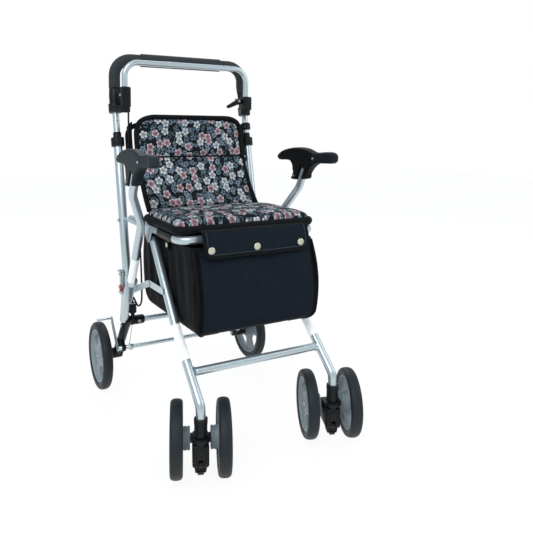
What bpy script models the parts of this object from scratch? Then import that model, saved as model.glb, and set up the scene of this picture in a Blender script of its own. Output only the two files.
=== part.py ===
"""A folding shopping rollator with a seat, a padded backrest, a soft bag and a height-adjustable handle.

Metres, +Z up. The front casters point to -Y and the user walks behind the handle, at +Y.
Side-view places are (y, z) pairs. Left and right halves share each function, with side -1 and +1.
The frame's middle plane lies at MID_X, so that the origin is under the middle of the whole outline.
Every node hangs under a pivot empty that stands on its body's joint axis.
"""

import math

import bmesh
import bpy
from mathutils import Matrix, Vector
from mathutils.geometry import interpolate_bezier

# The floor, above the base line that heights are drawn from
GROUND_Z = 0.0100

# Clearances
GAP = 0.0003
RUNNING = 0.0005
SIDES = {"left": -1, "right": 1}

# Tubes
POST_R = 0.0105
INNER_TUBE_R = 0.0080
LEG_R = 0.0093
ARM_R = 0.0093
RAIL_R = 0.0090
REAR_LEG_R = 0.0118
CROSS_TUBE_R = 0.0075
FRONT_BAR_R = 0.0082
HOOP_R = 0.0060
BRAKE_BAR_R = 0.0070
TORSION_R = 0.0055
CABLE_R = 0.0022
CABLE_SPACING = 6 * CABLE_R
TUBE_SIDES = 12
PIN_SIDES = 8
TURNED_STEPS = 16
HULL_STEPS = 6
BEND_STEP = math.radians(24)
PIN_ROOT = 0.003

# Rear posts in the side view: an upper line that leans back and a lower one that kicks back
POST_X = 0.1815
POST_CORNER = (0.1186, 0.3333)
POST_LEAN = math.radians(12.1)
POST_KICK = math.radians(12.4)
POST_TOP_Z = 0.6585
POST_FOOT_Z = 0.207
POST_BEND_R = 0.080
POST_BORE_DEPTH = 0.190

# Plates of the fold, stacked inwards from the post's inner side
TONGUE_T = 0.0022
STAY_T = 0.0020
GUSSET_T = 0.0030
GUSSET_REACH = 0.021
GUSSET_END_R = 0.0095
GUSSET_ROOT_R = 0.0055
POST_INNER_X = POST_X - POST_R
TONGUE_X = POST_INNER_X - 2 * GAP - TONGUE_T / 2
REAR_STAY_X = TONGUE_X - TONGUE_T / 2 - GAP - STAY_T / 2
FRONT_STAY_X = REAR_STAY_X - STAY_T - GAP
LEG_X = FRONT_STAY_X - STAY_T / 2 - GAP - LEG_R
GUSSET_X = LEG_X + LEG_R + GAP + GUSSET_T / 2
RAIL_X = GUSSET_X + GUSSET_T / 2 - RAIL_R

# Fold pivots in the side view
SEAT_Z = 0.460
LEG_PIVOT = (0.0090, SEAT_Z - 0.023)
STAY_POST_Z = 0.288
STAY_LEG_PIVOT = (-0.077, 0.3385)
KNEE = (0.0050, 0.3350)
TONGUE_BOLT_Z = 0.262
TONGUE_R = 0.008
PIVOT_PIN_R = 0.0035
SEAT_PIN_R = 0.0040
STAY_END_R = 0.0075
FOLD_LOCK_T = 0.003
FOLD_LOCK_R = 0.0072
FOLD_LOCK_PIN_R = 0.0025
FOLD_LEVER_R = (0.0062, 0.0050)

# Rear legs, wheels and brake
REAR_LEG_X = POST_X - 0.0070
REAR_LEG_LAP = 0.010
REAR_AXLE_Y = 0.2347
HUB_BOSS_R = 0.0135
REAR_WHEEL_X = POST_X + 0.0375
REAR_WHEEL_R = 0.0860
REAR_RIM_R = 0.0668
FRONT_WHEEL_R = 0.0735
FRONT_RIM_R = 0.0572
TYRE_W = 0.025
RIM_HALF_W = 0.0095
RIM_WEB = 0.0028
RIM_LIP = 0.0060
WINDOW_INNER = 0.42
WINDOW_MARGIN = 0.0115
WINDOW_HALF_ANGLE = math.radians(24)
WINDOW_TURN = 0.4
TREAD_HALF_W = 0.004
TYRE_STEPS = 24
AXLE_R = 0.0050
REAR_BOSS_LENGTH = 0.0035
REAR_BOSS_R = 0.0175
FACET = math.cos(math.pi / TYRE_STEPS)
REAR_AXLE_Z = GROUND_Z + REAR_WHEEL_R * FACET
REAR_WHEEL_INNER_X = REAR_WHEEL_X - TYRE_W / 2 - REAR_BOSS_LENGTH
AXLE_DEPTH = 0.021
AXLE_TIP = 0.002
TORSION_AXIS = (0.1790, 0.1265)
BEARING_T = 0.010
BEARING_R = 0.009
BEARING_ROOT_R = 0.010
BEARING_SHARE = 0.62
BRAKE_PAD = (REAR_AXLE_Y, REAR_AXLE_Z + REAR_WHEEL_R + 0.0085)
BRAKE_ARM_T = 0.0050
BRAKE_PAD_T = 0.0050
BRAKE_PAD_W = 0.0090
CROSS_TUBE_BEHIND = 0.0096
CROSS_TUBE_BELOW = 0.0040
CROSS_TUBE_INSET = 0.004
CLAMP_R = 0.0115
CLAMP_LENGTH = 0.034
BARREL_R = 0.0095
BARREL_CAP_R = 0.0075
BARREL_HEIGHT = 0.0255
BARREL_NECK = 0.010
BARREL_NECK_R = 0.0050
BARREL_AHEAD = 0.006
BARREL_INBOARD = 0.016

# Front legs and casters
LEG_TOP_LAP = 0.009
LEG_KNEE = (-0.138, 0.264)
LEG_FOOT = (-0.2530, 0.1625)
LEG_BENDS = (0.20, 0.020, 0.010)
STEM_Y = -0.2552
LEG_END_Z = 0.120
FRONT_BAR_Z = 0.2068
SOCKET_R = 0.0131
SOCKET_TOP_Z = 0.1397
SOCKET_FOOT_Z = 0.1050
STEM_R = 0.0070
STEM_HEIGHT = 0.0110
CASTER_TURN = math.radians(-22.5)
CASTER_TRAIL = 0.0328
WHEEL_SPACING = 0.046
FRONT_BOSS_LENGTH = 0.0135
FRONT_BOSS_R = 0.0225
FRONT_AXLE_Z = GROUND_Z + FRONT_WHEEL_R * FACET
FLANGE_R = 0.0197
FLANGE_T = 0.0095
FLANGE_CHAMFER = 0.003
CASTER_NECK_R = 0.0125
BLOCK_W = 0.0320
BLOCK_TOP_Z = 0.0910
BLOCK_FOOT_Z = 0.0470
BLOCK_FRONT_Y = -0.0130
BLOCK_BACK_Y = 0.0470
BLOCK_BEVEL = 0.004
LOCK_W = 0.0246
LOCK_EAR_W = 0.0080
LOCK_FOOT_Z = 0.0330
LOCK_PIN_R = 0.0020
LOCK_PIVOT = (-0.0080, 0.0530)
LOCK_EYE_R = 0.0045
LOCK_SLOT_END = (0.0120, 0.0640)
LOCK_REACH = (0.0020, 0.0240)
LOCK_BEVEL = 0.0015

# Arm tubes and armrests
ARM_SLOPE = -0.526
ARM_AT_Z = (0.1285, 0.240)
ARM_X = POST_X - 0.0005
ARM_FOOT_X = POST_X - 0.0030
ARM_FOOT_Z = 0.312
ARM_INTURN_Z = 0.345
ARM_BEND_R = 0.05
ARMREST_X = POST_X + 0.0306
ARM_TOP_Z = 0.597
FLARE_Z = (0.470, 0.540)
BRACE_Z = 0.465
BRACE_R = 0.0035
ARMREST_LEVELS = ((0.0112, 0.0058), (0.0090, 0.0022), (0.0055, 0.0))
FORK_FOOT_Z = 0.545

# Seat, board, cushion and backrest
RAIL_FRONT_Y = -0.166
RAIL_LAP = 0.012
RAIL_CORNER_R = 0.030
BOARD_T = 0.0080
BOARD_INSET = 0.003
BOARD_BEVEL = 0.002
CUSHION_HALF_W = 0.166
CUSHION_FRONT_Y = -0.165
CUSHION_BACK_Y = 0.051
CUSHION_BORDER = 0.0150
CUSHION_CROWN = 0.0150
CUSHION_CORNER_R = 0.024
CUSHION_FOOT_SHARE = 0.975
BACKREST_HALF_W = 0.1475
BACKREST_TOP_HALF_W = 0.118
BACKREST_CURVE = ((0.0560, 0.5140), (0.1300, 0.5500), (0.1720, 0.6480), (0.1480, 0.7090))
BACKREST_THICKNESS = 0.0220
BACKREST_EDGE = 0.0080
BACKREST_CROWN = 0.0060
BACKREST_CHANNEL = 0.0060
CHANNEL_AT = 0.56
CHANNEL_SPREAD = 0.05
TAPER_FROM = 0.80
BACKREST_STEPS = 60
HOOP_HALF_W = 0.156
HOOP_FOOT_Z = 0.600
HOOP_TOP_Z = 0.690
HOOP_CORNER_R = 0.030
HOOP_FOOT_TURN = 0.7

# Bag
BAG_HALF_W = LEG_X - LEG_R - 0.0022
BAG_WALL = 0.0030
BAG_TOP_Z = SEAT_Z - RAIL_R - 0.003
BAG_FRONT = ((-0.186, BAG_TOP_Z), (-0.213, 0.353), (-0.197, 0.271))
BAG_BACK = ((0.080, 0.261), (0.111, 0.290), (0.111, BAG_TOP_Z))
BAG_RADII = (0.20, 0.018, 0.030, 0.040)
FLAP_HALF_W = 0.121
FLAP_T = 0.0030
FLAP_HINGE = (RAIL_FRONT_Y - RAIL_R - 0.018, SEAT_Z + 0.016)
FLAP_FOOT_Z = FLAP_HINGE[1] - 0.051
FLAP_LEAN = 0.011

# Handle
HANDLE_X = POST_X - 0.0025
HANDLE_TOP_Z = POST_TOP_Z + 0.1955
BRACKET_BEND_Z = HANDLE_TOP_Z - 0.0940
HANDLE_BEND_Z = HANDLE_TOP_Z - 0.0540
HANDLE_BEND_R = 0.030
HANDLE_Y = POST_CORNER[0] + math.tan(POST_LEAN) * (BRACKET_BEND_Z - POST_CORNER[1]) + 0.0079
HANDLE_CORNER_R = 0.042
INNER_TUBE_FOOT_Z = 0.540
FOAM_R = 0.0140
FOAM_FOOT_Z = HANDLE_TOP_Z - 0.0750
GRIP_R = 0.0165
GRIP_HALF_W = 0.1107
COLLAR_R = 0.0160
COLLAR_NECK_R = 0.0100
COLLAR_LENGTH = 0.0220
COLLAR_NECK = 0.0130
RING_R = 0.0135
RING_Z = (POST_TOP_Z + 0.0210, POST_TOP_Z + 0.0400)
RING_CHAMFER = 0.0025
BRACKET_Z = (HANDLE_TOP_Z - 0.1340, HANDLE_TOP_Z - 0.1120)
BRACKET_SLEEVE_R = 0.0135
BRAKE_BAR_X = HANDLE_X - 0.0116
BRAKE_BAR_Y = HANDLE_Y - 0.0480
BRAKE_BAR_TOP_Z = HANDLE_TOP_Z - 0.0120
BRAKE_BAR_CORNER_R = 0.034
BRAKE_PIVOT_Z = BRACKET_Z[1] + 0.0205
BRAKE_BAR_FOOT_Z = BRACKET_Z[1] + 0.0100
SOCKET_BLOCK = (0.0220, 0.0290, 0.0400)
SOCKET_BEVEL = 0.002
BRACKET_R = 0.0165
BRACKET_NOSE_R = 0.0130
POCKET_AHEAD = 0.0105
POCKET_BEHIND = 0.0130
POCKET_BELOW = 0.003
BRAKE_PIN_R = 0.0025
PARKING_PIN_R = 0.0030
PARKING_PIVOT = (BRAKE_BAR_X - 0.0195, BRACKET_Z[1] + 0.0150)
PARKING_TIP = (BRAKE_BAR_X - 0.0500, BRACKET_Z[1])
PARKING_T = 0.010
PARKING_BEHIND = 0.0028
PARKING_R = (0.0072, 0.0045)
PARKING_EAR_BACK = 0.0125
PARKING_EAR_T = 0.004
PARKING_EAR_R = 0.0070

# The rollator's outline, left of and right of the frame's middle plane
TYRE_SHOULDER = (0.0045, 0.0105)
LEFT_REACH = REAR_WHEEL_X + TYRE_W / 2
SHOULDER_REACH = (
    TYRE_SHOULDER[1] * math.cos(CASTER_TURN) - (FRONT_WHEEL_R - TYRE_SHOULDER[0]) * math.sin(CASTER_TURN)
)
RIGHT_REACH = (
    LEG_X - CASTER_TRAIL * math.sin(CASTER_TURN) + WHEEL_SPACING * math.cos(CASTER_TURN) + SHOULDER_REACH
)
MID_X = (LEFT_REACH - RIGHT_REACH) / 2

AXLE_TURN = Matrix.Rotation(math.pi / 2, 4, "Y")
FACET_TURN = Matrix.Rotation(math.pi / TYRE_STEPS, 4, "Z")


def post_y(z):
    """The y of the post's upper centre line at this height."""
    return POST_CORNER[0] + math.tan(POST_LEAN) * (z - POST_CORNER[1])


def post_low_y(z):
    """The y of the post's lower centre line at this height."""
    return POST_CORNER[0] + math.tan(POST_KICK) * (POST_CORNER[1] - z)


def arm_y(z):
    """The y of the arm tube's centre line at this height."""
    return ARM_AT_Z[0] + ARM_SLOPE * (z - ARM_AT_Z[1])


POST_FOOT = (post_low_y(POST_FOOT_Z), POST_FOOT_Z)
CROSS_TUBE_AXIS = (POST_FOOT[0] + CROSS_TUBE_BEHIND, POST_FOOT_Z - CROSS_TUBE_BELOW)
BARREL_PLACE = (CROSS_TUBE_AXIS[0] - BARREL_AHEAD, CROSS_TUBE_AXIS[1] + CLAMP_R + BARREL_NECK)
FRONT_BAR_AXIS = (
    LEG_KNEE[0] + (FRONT_BAR_Z - LEG_KNEE[1]) * (LEG_FOOT[0] - LEG_KNEE[0]) / (LEG_FOOT[1] - LEG_KNEE[1]),
    FRONT_BAR_Z,
)
SEAT_PIVOT = (post_y(SEAT_Z), SEAT_Z)
STAY_POST_PIVOT = (post_low_y(STAY_POST_Z) - 0.003, STAY_POST_Z)
HOOP_PIVOT = (post_y(HOOP_TOP_Z), HOOP_TOP_Z)
LOCK_PLATE_TOP = (POST_CORNER[0], POST_CORNER[1] + 0.001)
FOLD_LEVER_TIP = (LOCK_PLATE_TOP[0] - 0.005, LOCK_PLATE_TOP[1] - 0.037)
POST_AXIS = Vector((0, math.sin(POST_LEAN), math.cos(POST_LEAN)))

# Materials: colour, roughness, metallic
FINISHES = {
    "silver": ((0.47, 0.52, 0.55), 0.30, 0.9),
    "black_plastic": ((0.012, 0.014, 0.017), 0.45, 0.0),
    "black_foam": ((0.020, 0.023, 0.027), 0.85, 0.0),
    "tyre_rubber": ((0.024, 0.029, 0.035), 0.75, 0.0),
    "rim_grey": ((0.26, 0.31, 0.34), 0.45, 0.0),
    "bag_cloth": ((0.010, 0.015, 0.022), 0.90, 0.0),
    "seat_cloth": ((0.030, 0.035, 0.050), 0.90, 0.0),
    "steel": ((0.40, 0.42, 0.43), 0.35, 1.0),
    "left_armrest": ((0.045, 0.051, 0.054), 0.55, 0.0),
    "right_armrest": ((0.008, 0.009, 0.011), 0.50, 0.0),
}

for old in list(bpy.data.objects):
    bpy.data.objects.remove(old, do_unlink=True)
PARTS = bpy.data.collections.new("rollator")
CUTTERS = bpy.data.collections.new("cutters")
bpy.context.scene.collection.children.link(PARTS)
bpy.context.scene.collection.children.link(CUTTERS)


def make_materials():
    """One Principled material for each finish."""
    for name, (colour, roughness, metallic) in FINISHES.items():
        material = bpy.data.materials.new(name)
        material.use_nodes = True
        shader = material.node_tree.nodes["Principled BSDF"]
        shader.inputs["Base Color"].default_value = (*colour, 1)
        shader.inputs["Roughness"].default_value = roughness
        shader.inputs["Metallic"].default_value = metallic


ROOT = bpy.data.objects.new("rollator_root", None)
ROOT.location = (MID_X, 0, -GROUND_Z)
PARTS.objects.link(ROOT)


def pivot(name, place, parent=None):
    """An empty on a joint axis. The place is in the frame's own coordinates, with x = 0 at its middle."""
    empty = bpy.data.objects.new(name, None)
    empty.empty_display_size = 0.02
    base = Vector(parent["place"]) if parent else Vector()
    empty.parent = parent or ROOT
    empty.location = Vector(place) - base
    empty["place"] = tuple(place)
    PARTS.objects.link(empty)
    return empty


def hang(thing, parent):
    """Parents an object and keeps its matrix_basis in the frame's own coordinates."""
    thing.parent = parent or ROOT
    place = Vector(parent["place"]) if parent else Vector()
    thing.matrix_parent_inverse = Matrix.Translation(-place)


def node(thing, name, finish, parent=None):
    """Names a finished piece, gives it its material and hangs it on its body's pivot."""
    thing.name = name
    thing.data.name = name
    thing.data.materials.clear()
    thing.data.materials.append(bpy.data.materials[finish])
    if thing.type == "MESH":
        thing.data.shade_smooth()
        thing.data.set_sharp_from_angle(angle=math.radians(35))
    hang(thing, parent)
    return thing


def linked(data, matrix=None):
    """A new object in the parts collection."""
    thing = bpy.data.objects.new("piece", data)
    PARTS.objects.link(thing)
    if matrix is not None:
        thing.matrix_basis = matrix
    return thing


def mesh_of(thing):
    """Turns a curve into a closed mesh with welded caps, at the same place."""
    evaluated = thing.evaluated_get(bpy.context.evaluated_depsgraph_get())
    mesh = bpy.data.meshes.new_from_object(evaluated)
    shape = bmesh.new()
    shape.from_mesh(mesh)
    bmesh.ops.remove_doubles(shape, verts=shape.verts, dist=0.00001)
    bmesh.ops.recalc_face_normals(shape, faces=shape.faces)
    shape.to_mesh(mesh)
    shape.free()
    solid = linked(mesh, thing.matrix_basis.copy())
    bpy.data.objects.remove(thing, do_unlink=True)
    return solid


def combine(thing, other, operation):
    """Cuts the other solid out of this one, or joins it on, and keeps the other as a hidden guide."""
    PARTS.objects.unlink(other)
    CUTTERS.objects.link(other)
    other.hide_render = True
    other.display_type = "WIRE"
    hang(other, None)
    modifier = thing.modifiers.new(operation.lower(), "BOOLEAN")
    modifier.operation = operation
    modifier.object = other


def cut(thing, *cutters):
    for cutter in cutters:
        combine(thing, cutter, "DIFFERENCE")


def join(thing, *others):
    for other in others:
        combine(thing, other, "UNION")


def rounded(points, radii):
    """The path through the points, with each inner corner turned on an arc of its own radius."""
    points = [Vector(point) for point in points]
    path = [points[0]]
    for before, corner, after, radius in zip(points, points[1:], points[2:], radii):
        back = (before - corner).normalized()
        ahead = (after - corner).normalized()
        half = back.angle(ahead) / 2
        centre = corner + (back + ahead).normalized() * radius / math.sin(half)
        arm = corner + back * radius / math.tan(half) - centre
        steps = max(1, math.ceil((math.pi - 2 * half) / BEND_STEP))
        for k in range(steps + 1):
            swept = (math.pi - 2 * half) * k / steps
            path.append(centre + arm * math.cos(swept) - back * radius * math.sin(swept))
    return path + [points[-1]]


def tube(points, radius, sides=TUBE_SIDES, radii=None):
    """A round bar along a path of points, capped at both ends. radii scales the radius at each point."""
    curve = bpy.data.curves.new("tube", "CURVE")
    curve.dimensions = "3D"
    curve.twist_mode = "MINIMUM"
    curve.bevel_depth = radius
    curve.bevel_resolution = (sides - 4) // 2
    curve.use_fill_caps = True
    spline = curve.splines.new("POLY")
    spline.points.add(len(points) - 1)
    for k, (place, point) in enumerate(zip(spline.points, points)):
        place.co = (*point, 1)
        place.radius = radii[k] if radii else 1
    return mesh_of(linked(curve))


def bar_x(low, high, place, radius, sides=TUBE_SIDES):
    """A round bar that runs along X between two x values, centred on a side-view place."""
    return tube([(low, *place), (high, *place)], radius, sides)


def ring_hull(circles):
    """The outline round a few (x, y, radius) circles, as a convex loop that runs anticlockwise."""
    points = []
    for x, y, radius in circles:
        for k in range(2 * HULL_STEPS):
            angle = math.pi * k / HULL_STEPS
            points.append((x + radius * math.cos(angle), y + radius * math.sin(angle)))
    points.sort()
    loop = []
    for ordered in (points, points[::-1]):
        chain = []
        for point in ordered:
            while len(chain) > 1 and turn(chain[-2], chain[-1], point) <= 1e-12:
                chain.pop()
            chain.append(point)
        loop += chain[:-1]
    return loop


def turn(a, b, c):
    """Twice the area of a triangle: positive where the corner at b turns left."""
    return (b[0] - a[0]) * (c[1] - a[1]) - (b[1] - a[1]) * (c[0] - a[0])


def plate(outline, thickness, matrix):
    """A flat outline as a 2D curve, extruded by half its thickness each way."""
    curve = bpy.data.curves.new("plate", "CURVE")
    curve.dimensions = "2D"
    curve.fill_mode = "BOTH"
    curve.extrude = thickness / 2
    spline = curve.splines.new("POLY")
    spline.points.add(len(outline) - 1)
    for place, point in zip(spline.points, outline):
        place.co = (*point, 0, 1)
    spline.use_cyclic_u = True
    return mesh_of(linked(curve, matrix))


def side_plate(outline, thickness, x):
    """A plate that stands in the side view: its outline is in (y, z)."""
    turned = Matrix(((0, 0, 1, x), (1, 0, 0, 0), (0, 1, 0, 0), (0, 0, 0, 1)))
    return plate(outline, thickness, turned)


def plan_plate(outline, thickness, z):
    """A plate that lies flat: its outline is in (x, y)."""
    return plate(outline, thickness, Matrix.Translation((0, 0, z)))


def front_plate(outline, thickness, y):
    """A plate that stands across the frame: its outline is in (x, z)."""
    turned = Matrix(((1, 0, 0, 0), (0, 0, -1, y), (0, 1, 0, 0), (0, 0, 0, 1)))
    return plate(outline, thickness, turned)


def turned(profile, steps, matrix, closed=False):
    """A profile of (radius, height) pairs turned about its Z axis. It runs down the outer side."""
    shape = bmesh.new()
    corners = [shape.verts.new((radius, 0, height)) for radius, height in profile]
    ends = zip(corners, corners[1:] + corners[:1]) if closed else zip(corners, corners[1:])
    for first, second in ends:
        shape.edges.new((first, second))
    mesh = bpy.data.meshes.new("turned")
    shape.to_mesh(mesh)
    shape.free()
    thing = linked(mesh, matrix)
    screw = thing.modifiers.new("screw", "SCREW")
    screw.steps = steps
    screw.render_steps = steps
    screw.use_merge_vertices = True
    screw.merge_threshold = 0.00001
    return thing


def box(low, high, bevel=0.0, matrix=None):
    """A box between two corners, with its edges rounded by the bevel."""
    low, high = Vector(low), Vector(high)
    shape = bmesh.new()
    bmesh.ops.create_cube(shape, size=1)
    bmesh.ops.scale(shape, vec=high - low, verts=shape.verts)
    bmesh.ops.translate(shape, vec=(low + high) / 2, verts=shape.verts)
    mesh = bpy.data.meshes.new("box")
    shape.to_mesh(mesh)
    shape.free()
    thing = linked(mesh, matrix)
    if bevel:
        modifier = thing.modifiers.new("bevel", "BEVEL")
        modifier.width = bevel
        modifier.segments = 1
    return thing


def along(axis, place):
    """The matrix that stands local Z on an axis, at a place."""
    return Matrix.Translation(place) @ Vector(axis).to_track_quat("Z", "Y").to_matrix().to_4x4()


def bore(radius, clearance=GAP, sides=TUBE_SIDES):
    """The radius of a faceted bore whose flats clear a round piece of this radius."""
    return (radius + clearance) / math.cos(math.pi / sides)


def post_path(side, past_foot=0.0):
    """The post's centre line from its foot, or from a little past it, to its top."""
    x = side * POST_X
    foot = (x, post_low_y(POST_FOOT_Z - past_foot), POST_FOOT_Z - past_foot)
    return rounded([foot, (x, *POST_CORNER), (x, post_y(POST_TOP_Z), POST_TOP_Z)], [POST_BEND_R])


def post_socket(side):
    """A cutter that leaves a gap round the post and past its foot."""
    return tube(post_path(side, 2 * GAP), bore(POST_R))


def make_posts():
    """Rear posts with the bore for the handle's tube, the seat pivot pin and the stay's pivot pin."""
    for name, side in SIDES.items():
        post = tube(post_path(side), POST_R)
        pin_root = side * (POST_INNER_X + PIN_ROOT)
        seat_pin_end = side * (RAIL_X - RAIL_R + GAP)
        stay_pin_end = side * (REAR_STAY_X - STAY_T / 2 + GAP)
        join(post, bar_x(pin_root, seat_pin_end, SEAT_PIVOT, SEAT_PIN_R, PIN_SIDES))
        join(post, bar_x(pin_root, stay_pin_end, STAY_POST_PIVOT, PIVOT_PIN_R, PIN_SIDES))
        ends = (POST_TOP_Z - POST_BORE_DEPTH, POST_TOP_Z + 0.01)
        cut(post, tube([(side * POST_X, post_y(z), z) for z in ends], bore(INNER_TUBE_R)))
        node(post, f"main_post_{name}", "silver")


def make_collars():
    """A collar on each post's top, with a narrower neck round the handle's tube."""
    post_bore = bore(POST_R, GAP, TURNED_STEPS)
    tube_bore = bore(INNER_TUBE_R, GAP, TURNED_STEPS)
    lip = 2 * RUNNING
    profile = [
        (COLLAR_NECK_R, COLLAR_NECK), (COLLAR_NECK_R, lip + GAP), (COLLAR_R - lip, lip + GAP),
        (COLLAR_R, 0), (COLLAR_R, -COLLAR_LENGTH + lip), (COLLAR_R - lip, -COLLAR_LENGTH),
        (post_bore, -COLLAR_LENGTH), (post_bore, GAP), (tube_bore, GAP), (tube_bore, COLLAR_NECK),
    ]
    for name, side in SIDES.items():
        top = along(POST_AXIS, (side * POST_X, post_y(POST_TOP_Z), POST_TOP_Z))
        node(turned(profile, TURNED_STEPS, top, closed=True), f"height_collar_{name}", "black_plastic")


def rear_leg_line(side):
    """The rear leg's centre line, from behind the post's foot to the hub."""
    foot = Vector((side * REAR_LEG_X, *POST_FOOT))
    hub = Vector((side * REAR_LEG_X, REAR_AXLE_Y, REAR_AXLE_Z))
    lap = (foot - hub).normalized() * REAR_LEG_LAP
    return foot + lap, hub


def make_rear_legs():
    """Black lower legs that hold the posts' feet, the brake bar's bearings and the rear axles."""
    for name, side in SIDES.items():
        top, hub = rear_leg_line(side)
        leg = tube([top, hub], REAR_LEG_R)
        inner_x = REAR_LEG_X - REAR_LEG_R
        join(leg, bar_x(side * inner_x, side * (REAR_WHEEL_INNER_X - RUNNING), hub.yz, HUB_BOSS_R))
        bearing_x = side * (REAR_LEG_X - PIN_ROOT)
        middle = top.lerp(hub, BEARING_SHARE)
        bearing = ring_hull([(*TORSION_AXIS, BEARING_R), (middle.y, middle.z, BEARING_ROOT_R)])
        join(leg, side_plate(bearing, BEARING_T, bearing_x))
        ends = bearing_x - BEARING_T, bearing_x + BEARING_T
        cut(leg, bar_x(*ends, TORSION_AXIS, bore(TORSION_R, RUNNING)))
        cut(leg, post_socket(side))
        bore_end = side * (REAR_WHEEL_INNER_X - AXLE_DEPTH - GAP)
        hole_r = bore(AXLE_R, GAP, PIN_SIDES)
        cut(leg, bar_x(bore_end, side * REAR_WHEEL_INNER_X, hub.yz, hole_r, PIN_SIDES))
        node(leg, f"rear_leg_{name}", "black_plastic")


def make_rear_axles():
    """Stub axles from the rear hubs into the wheels."""
    for name, side in SIDES.items():
        root = REAR_WHEEL_INNER_X - AXLE_DEPTH
        tip = REAR_WHEEL_X - AXLE_TIP
        axle = bar_x(side * root, side * tip, (REAR_AXLE_Y, REAR_AXLE_Z), AXLE_R, PIN_SIDES)
        node(axle, f"rear_axle_{name}", "steel")


def make_cross_tube():
    """The rear cross tube and the clamps that hold its ends to the rear legs."""
    clamp_end = REAR_LEG_X - REAR_LEG_R - GAP
    tube_end = clamp_end - CROSS_TUBE_INSET
    node(bar_x(-tube_end, tube_end, CROSS_TUBE_AXIS, CROSS_TUBE_R), "rear_cross_tube", "silver")
    for name, side in SIDES.items():
        clamp = bar_x(side * clamp_end, side * (clamp_end - CLAMP_LENGTH), CROSS_TUBE_AXIS, CLAMP_R)
        ends = side * (tube_end + GAP), side * (clamp_end - 2 * CLAMP_LENGTH)
        cut(clamp, bar_x(*ends, CROSS_TUBE_AXIS, bore(CROSS_TUBE_R)))
        cut(clamp, post_socket(side))
        node(clamp, f"cross_clamp_{name}", "black_plastic")


def make_hoop():
    """The hoop between the posts that carries the backrest."""
    end = POST_INNER_X - GAP
    foot_y, top_y = post_y(HOOP_FOOT_Z), post_y(HOOP_TOP_Z)
    points = [
        (-end, foot_y, HOOP_FOOT_Z), (-HOOP_HALF_W, foot_y, HOOP_FOOT_Z),
        (-HOOP_HALF_W, top_y, HOOP_TOP_Z), (HOOP_HALF_W, top_y, HOOP_TOP_Z),
        (HOOP_HALF_W, foot_y, HOOP_FOOT_Z), (end, foot_y, HOOP_FOOT_Z),
    ]
    foot_turn = (POST_INNER_X - HOOP_HALF_W) * HOOP_FOOT_TURN
    path = rounded(points, [foot_turn, HOOP_CORNER_R, HOOP_CORNER_R, foot_turn])
    node(tube(path, HOOP_R, 8), "backrest_hoop", "silver")


def make_arm_tubes():
    """Tubes that lean forward from the posts' feet to the armrests, each with a tongue and a brace."""
    for name, side in SIDES.items():
        corners = [
            (side * ARM_FOOT_X, arm_y(ARM_FOOT_Z), ARM_FOOT_Z),
            (side * ARM_X, arm_y(ARM_INTURN_Z), ARM_INTURN_Z),
            (side * ARM_X, arm_y(FLARE_Z[0]), FLARE_Z[0]),
            (side * ARMREST_X, arm_y(FLARE_Z[1]), FLARE_Z[1]),
            (side * ARMREST_X, arm_y(ARM_TOP_Z), ARM_TOP_Z),
        ]
        arm = tube(rounded(corners, [ARM_BEND_R] * 3), ARM_R)
        bolt = (post_low_y(TONGUE_BOLT_Z), TONGUE_BOLT_Z)
        tongue = ring_hull([
            (arm_y(ARM_FOOT_Z + ARM_R), ARM_FOOT_Z + ARM_R, TONGUE_R),
            (*STAY_POST_PIVOT, TONGUE_R), (*bolt, TONGUE_R),
        ])
        join(arm, side_plate(tongue, TONGUE_T, side * TONGUE_X))
        brace = [(side * ARM_X, arm_y(BRACE_Z), BRACE_Z), (side * ARM_X, post_y(BRACE_Z), BRACE_Z)]
        join(arm, tube(brace, BRACE_R, PIN_SIDES))
        cut(arm, post_socket(side))
        ends = side * (TONGUE_X - TONGUE_T), side * (TONGUE_X + TONGUE_T)
        cut(arm, bar_x(*ends, STAY_POST_PIVOT, bore(PIVOT_PIN_R, GAP, PIN_SIDES), PIN_SIDES))
        node(arm, f"arm_tube_{name}", "silver")


def offset_outline(outline, inset):
    """The outline, which runs clockwise, with each corner moved inwards along its own normal."""
    moved = []
    for before, corner, after in zip(outline[-1:] + outline[:-1], outline, outline[1:] + outline[:1]):
        ahead = (Vector(after) - Vector(corner)).normalized() + (Vector(corner) - Vector(before)).normalized()
        ahead.normalize()
        moved.append((corner[0] - ahead[1] * inset, corner[1] + ahead[0] * inset))
    return moved


def moulded(outline, levels, x):
    """A solid with a side-view outline and rounded edges. levels gives half widths with their insets."""
    sections = [(-half, inset) for half, inset in levels] + [(half, inset) for half, inset in levels[::-1]]
    shape = bmesh.new()
    loops = []
    for across, inset in sections:
        loops.append([shape.verts.new((x + across, y, z)) for y, z in offset_outline(outline, inset)])
    for low, high in zip(loops, loops[1:]):
        for k in range(len(low)):
            shape.faces.new((low[k - 1], low[k], high[k], high[k - 1]))
    shape.faces.new(loops[0])
    shape.faces.new(loops[-1])
    bmesh.ops.recalc_face_normals(shape, faces=shape.faces)
    mesh = bpy.data.meshes.new("moulded")
    shape.to_mesh(mesh)
    shape.free()
    return linked(mesh)


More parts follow.
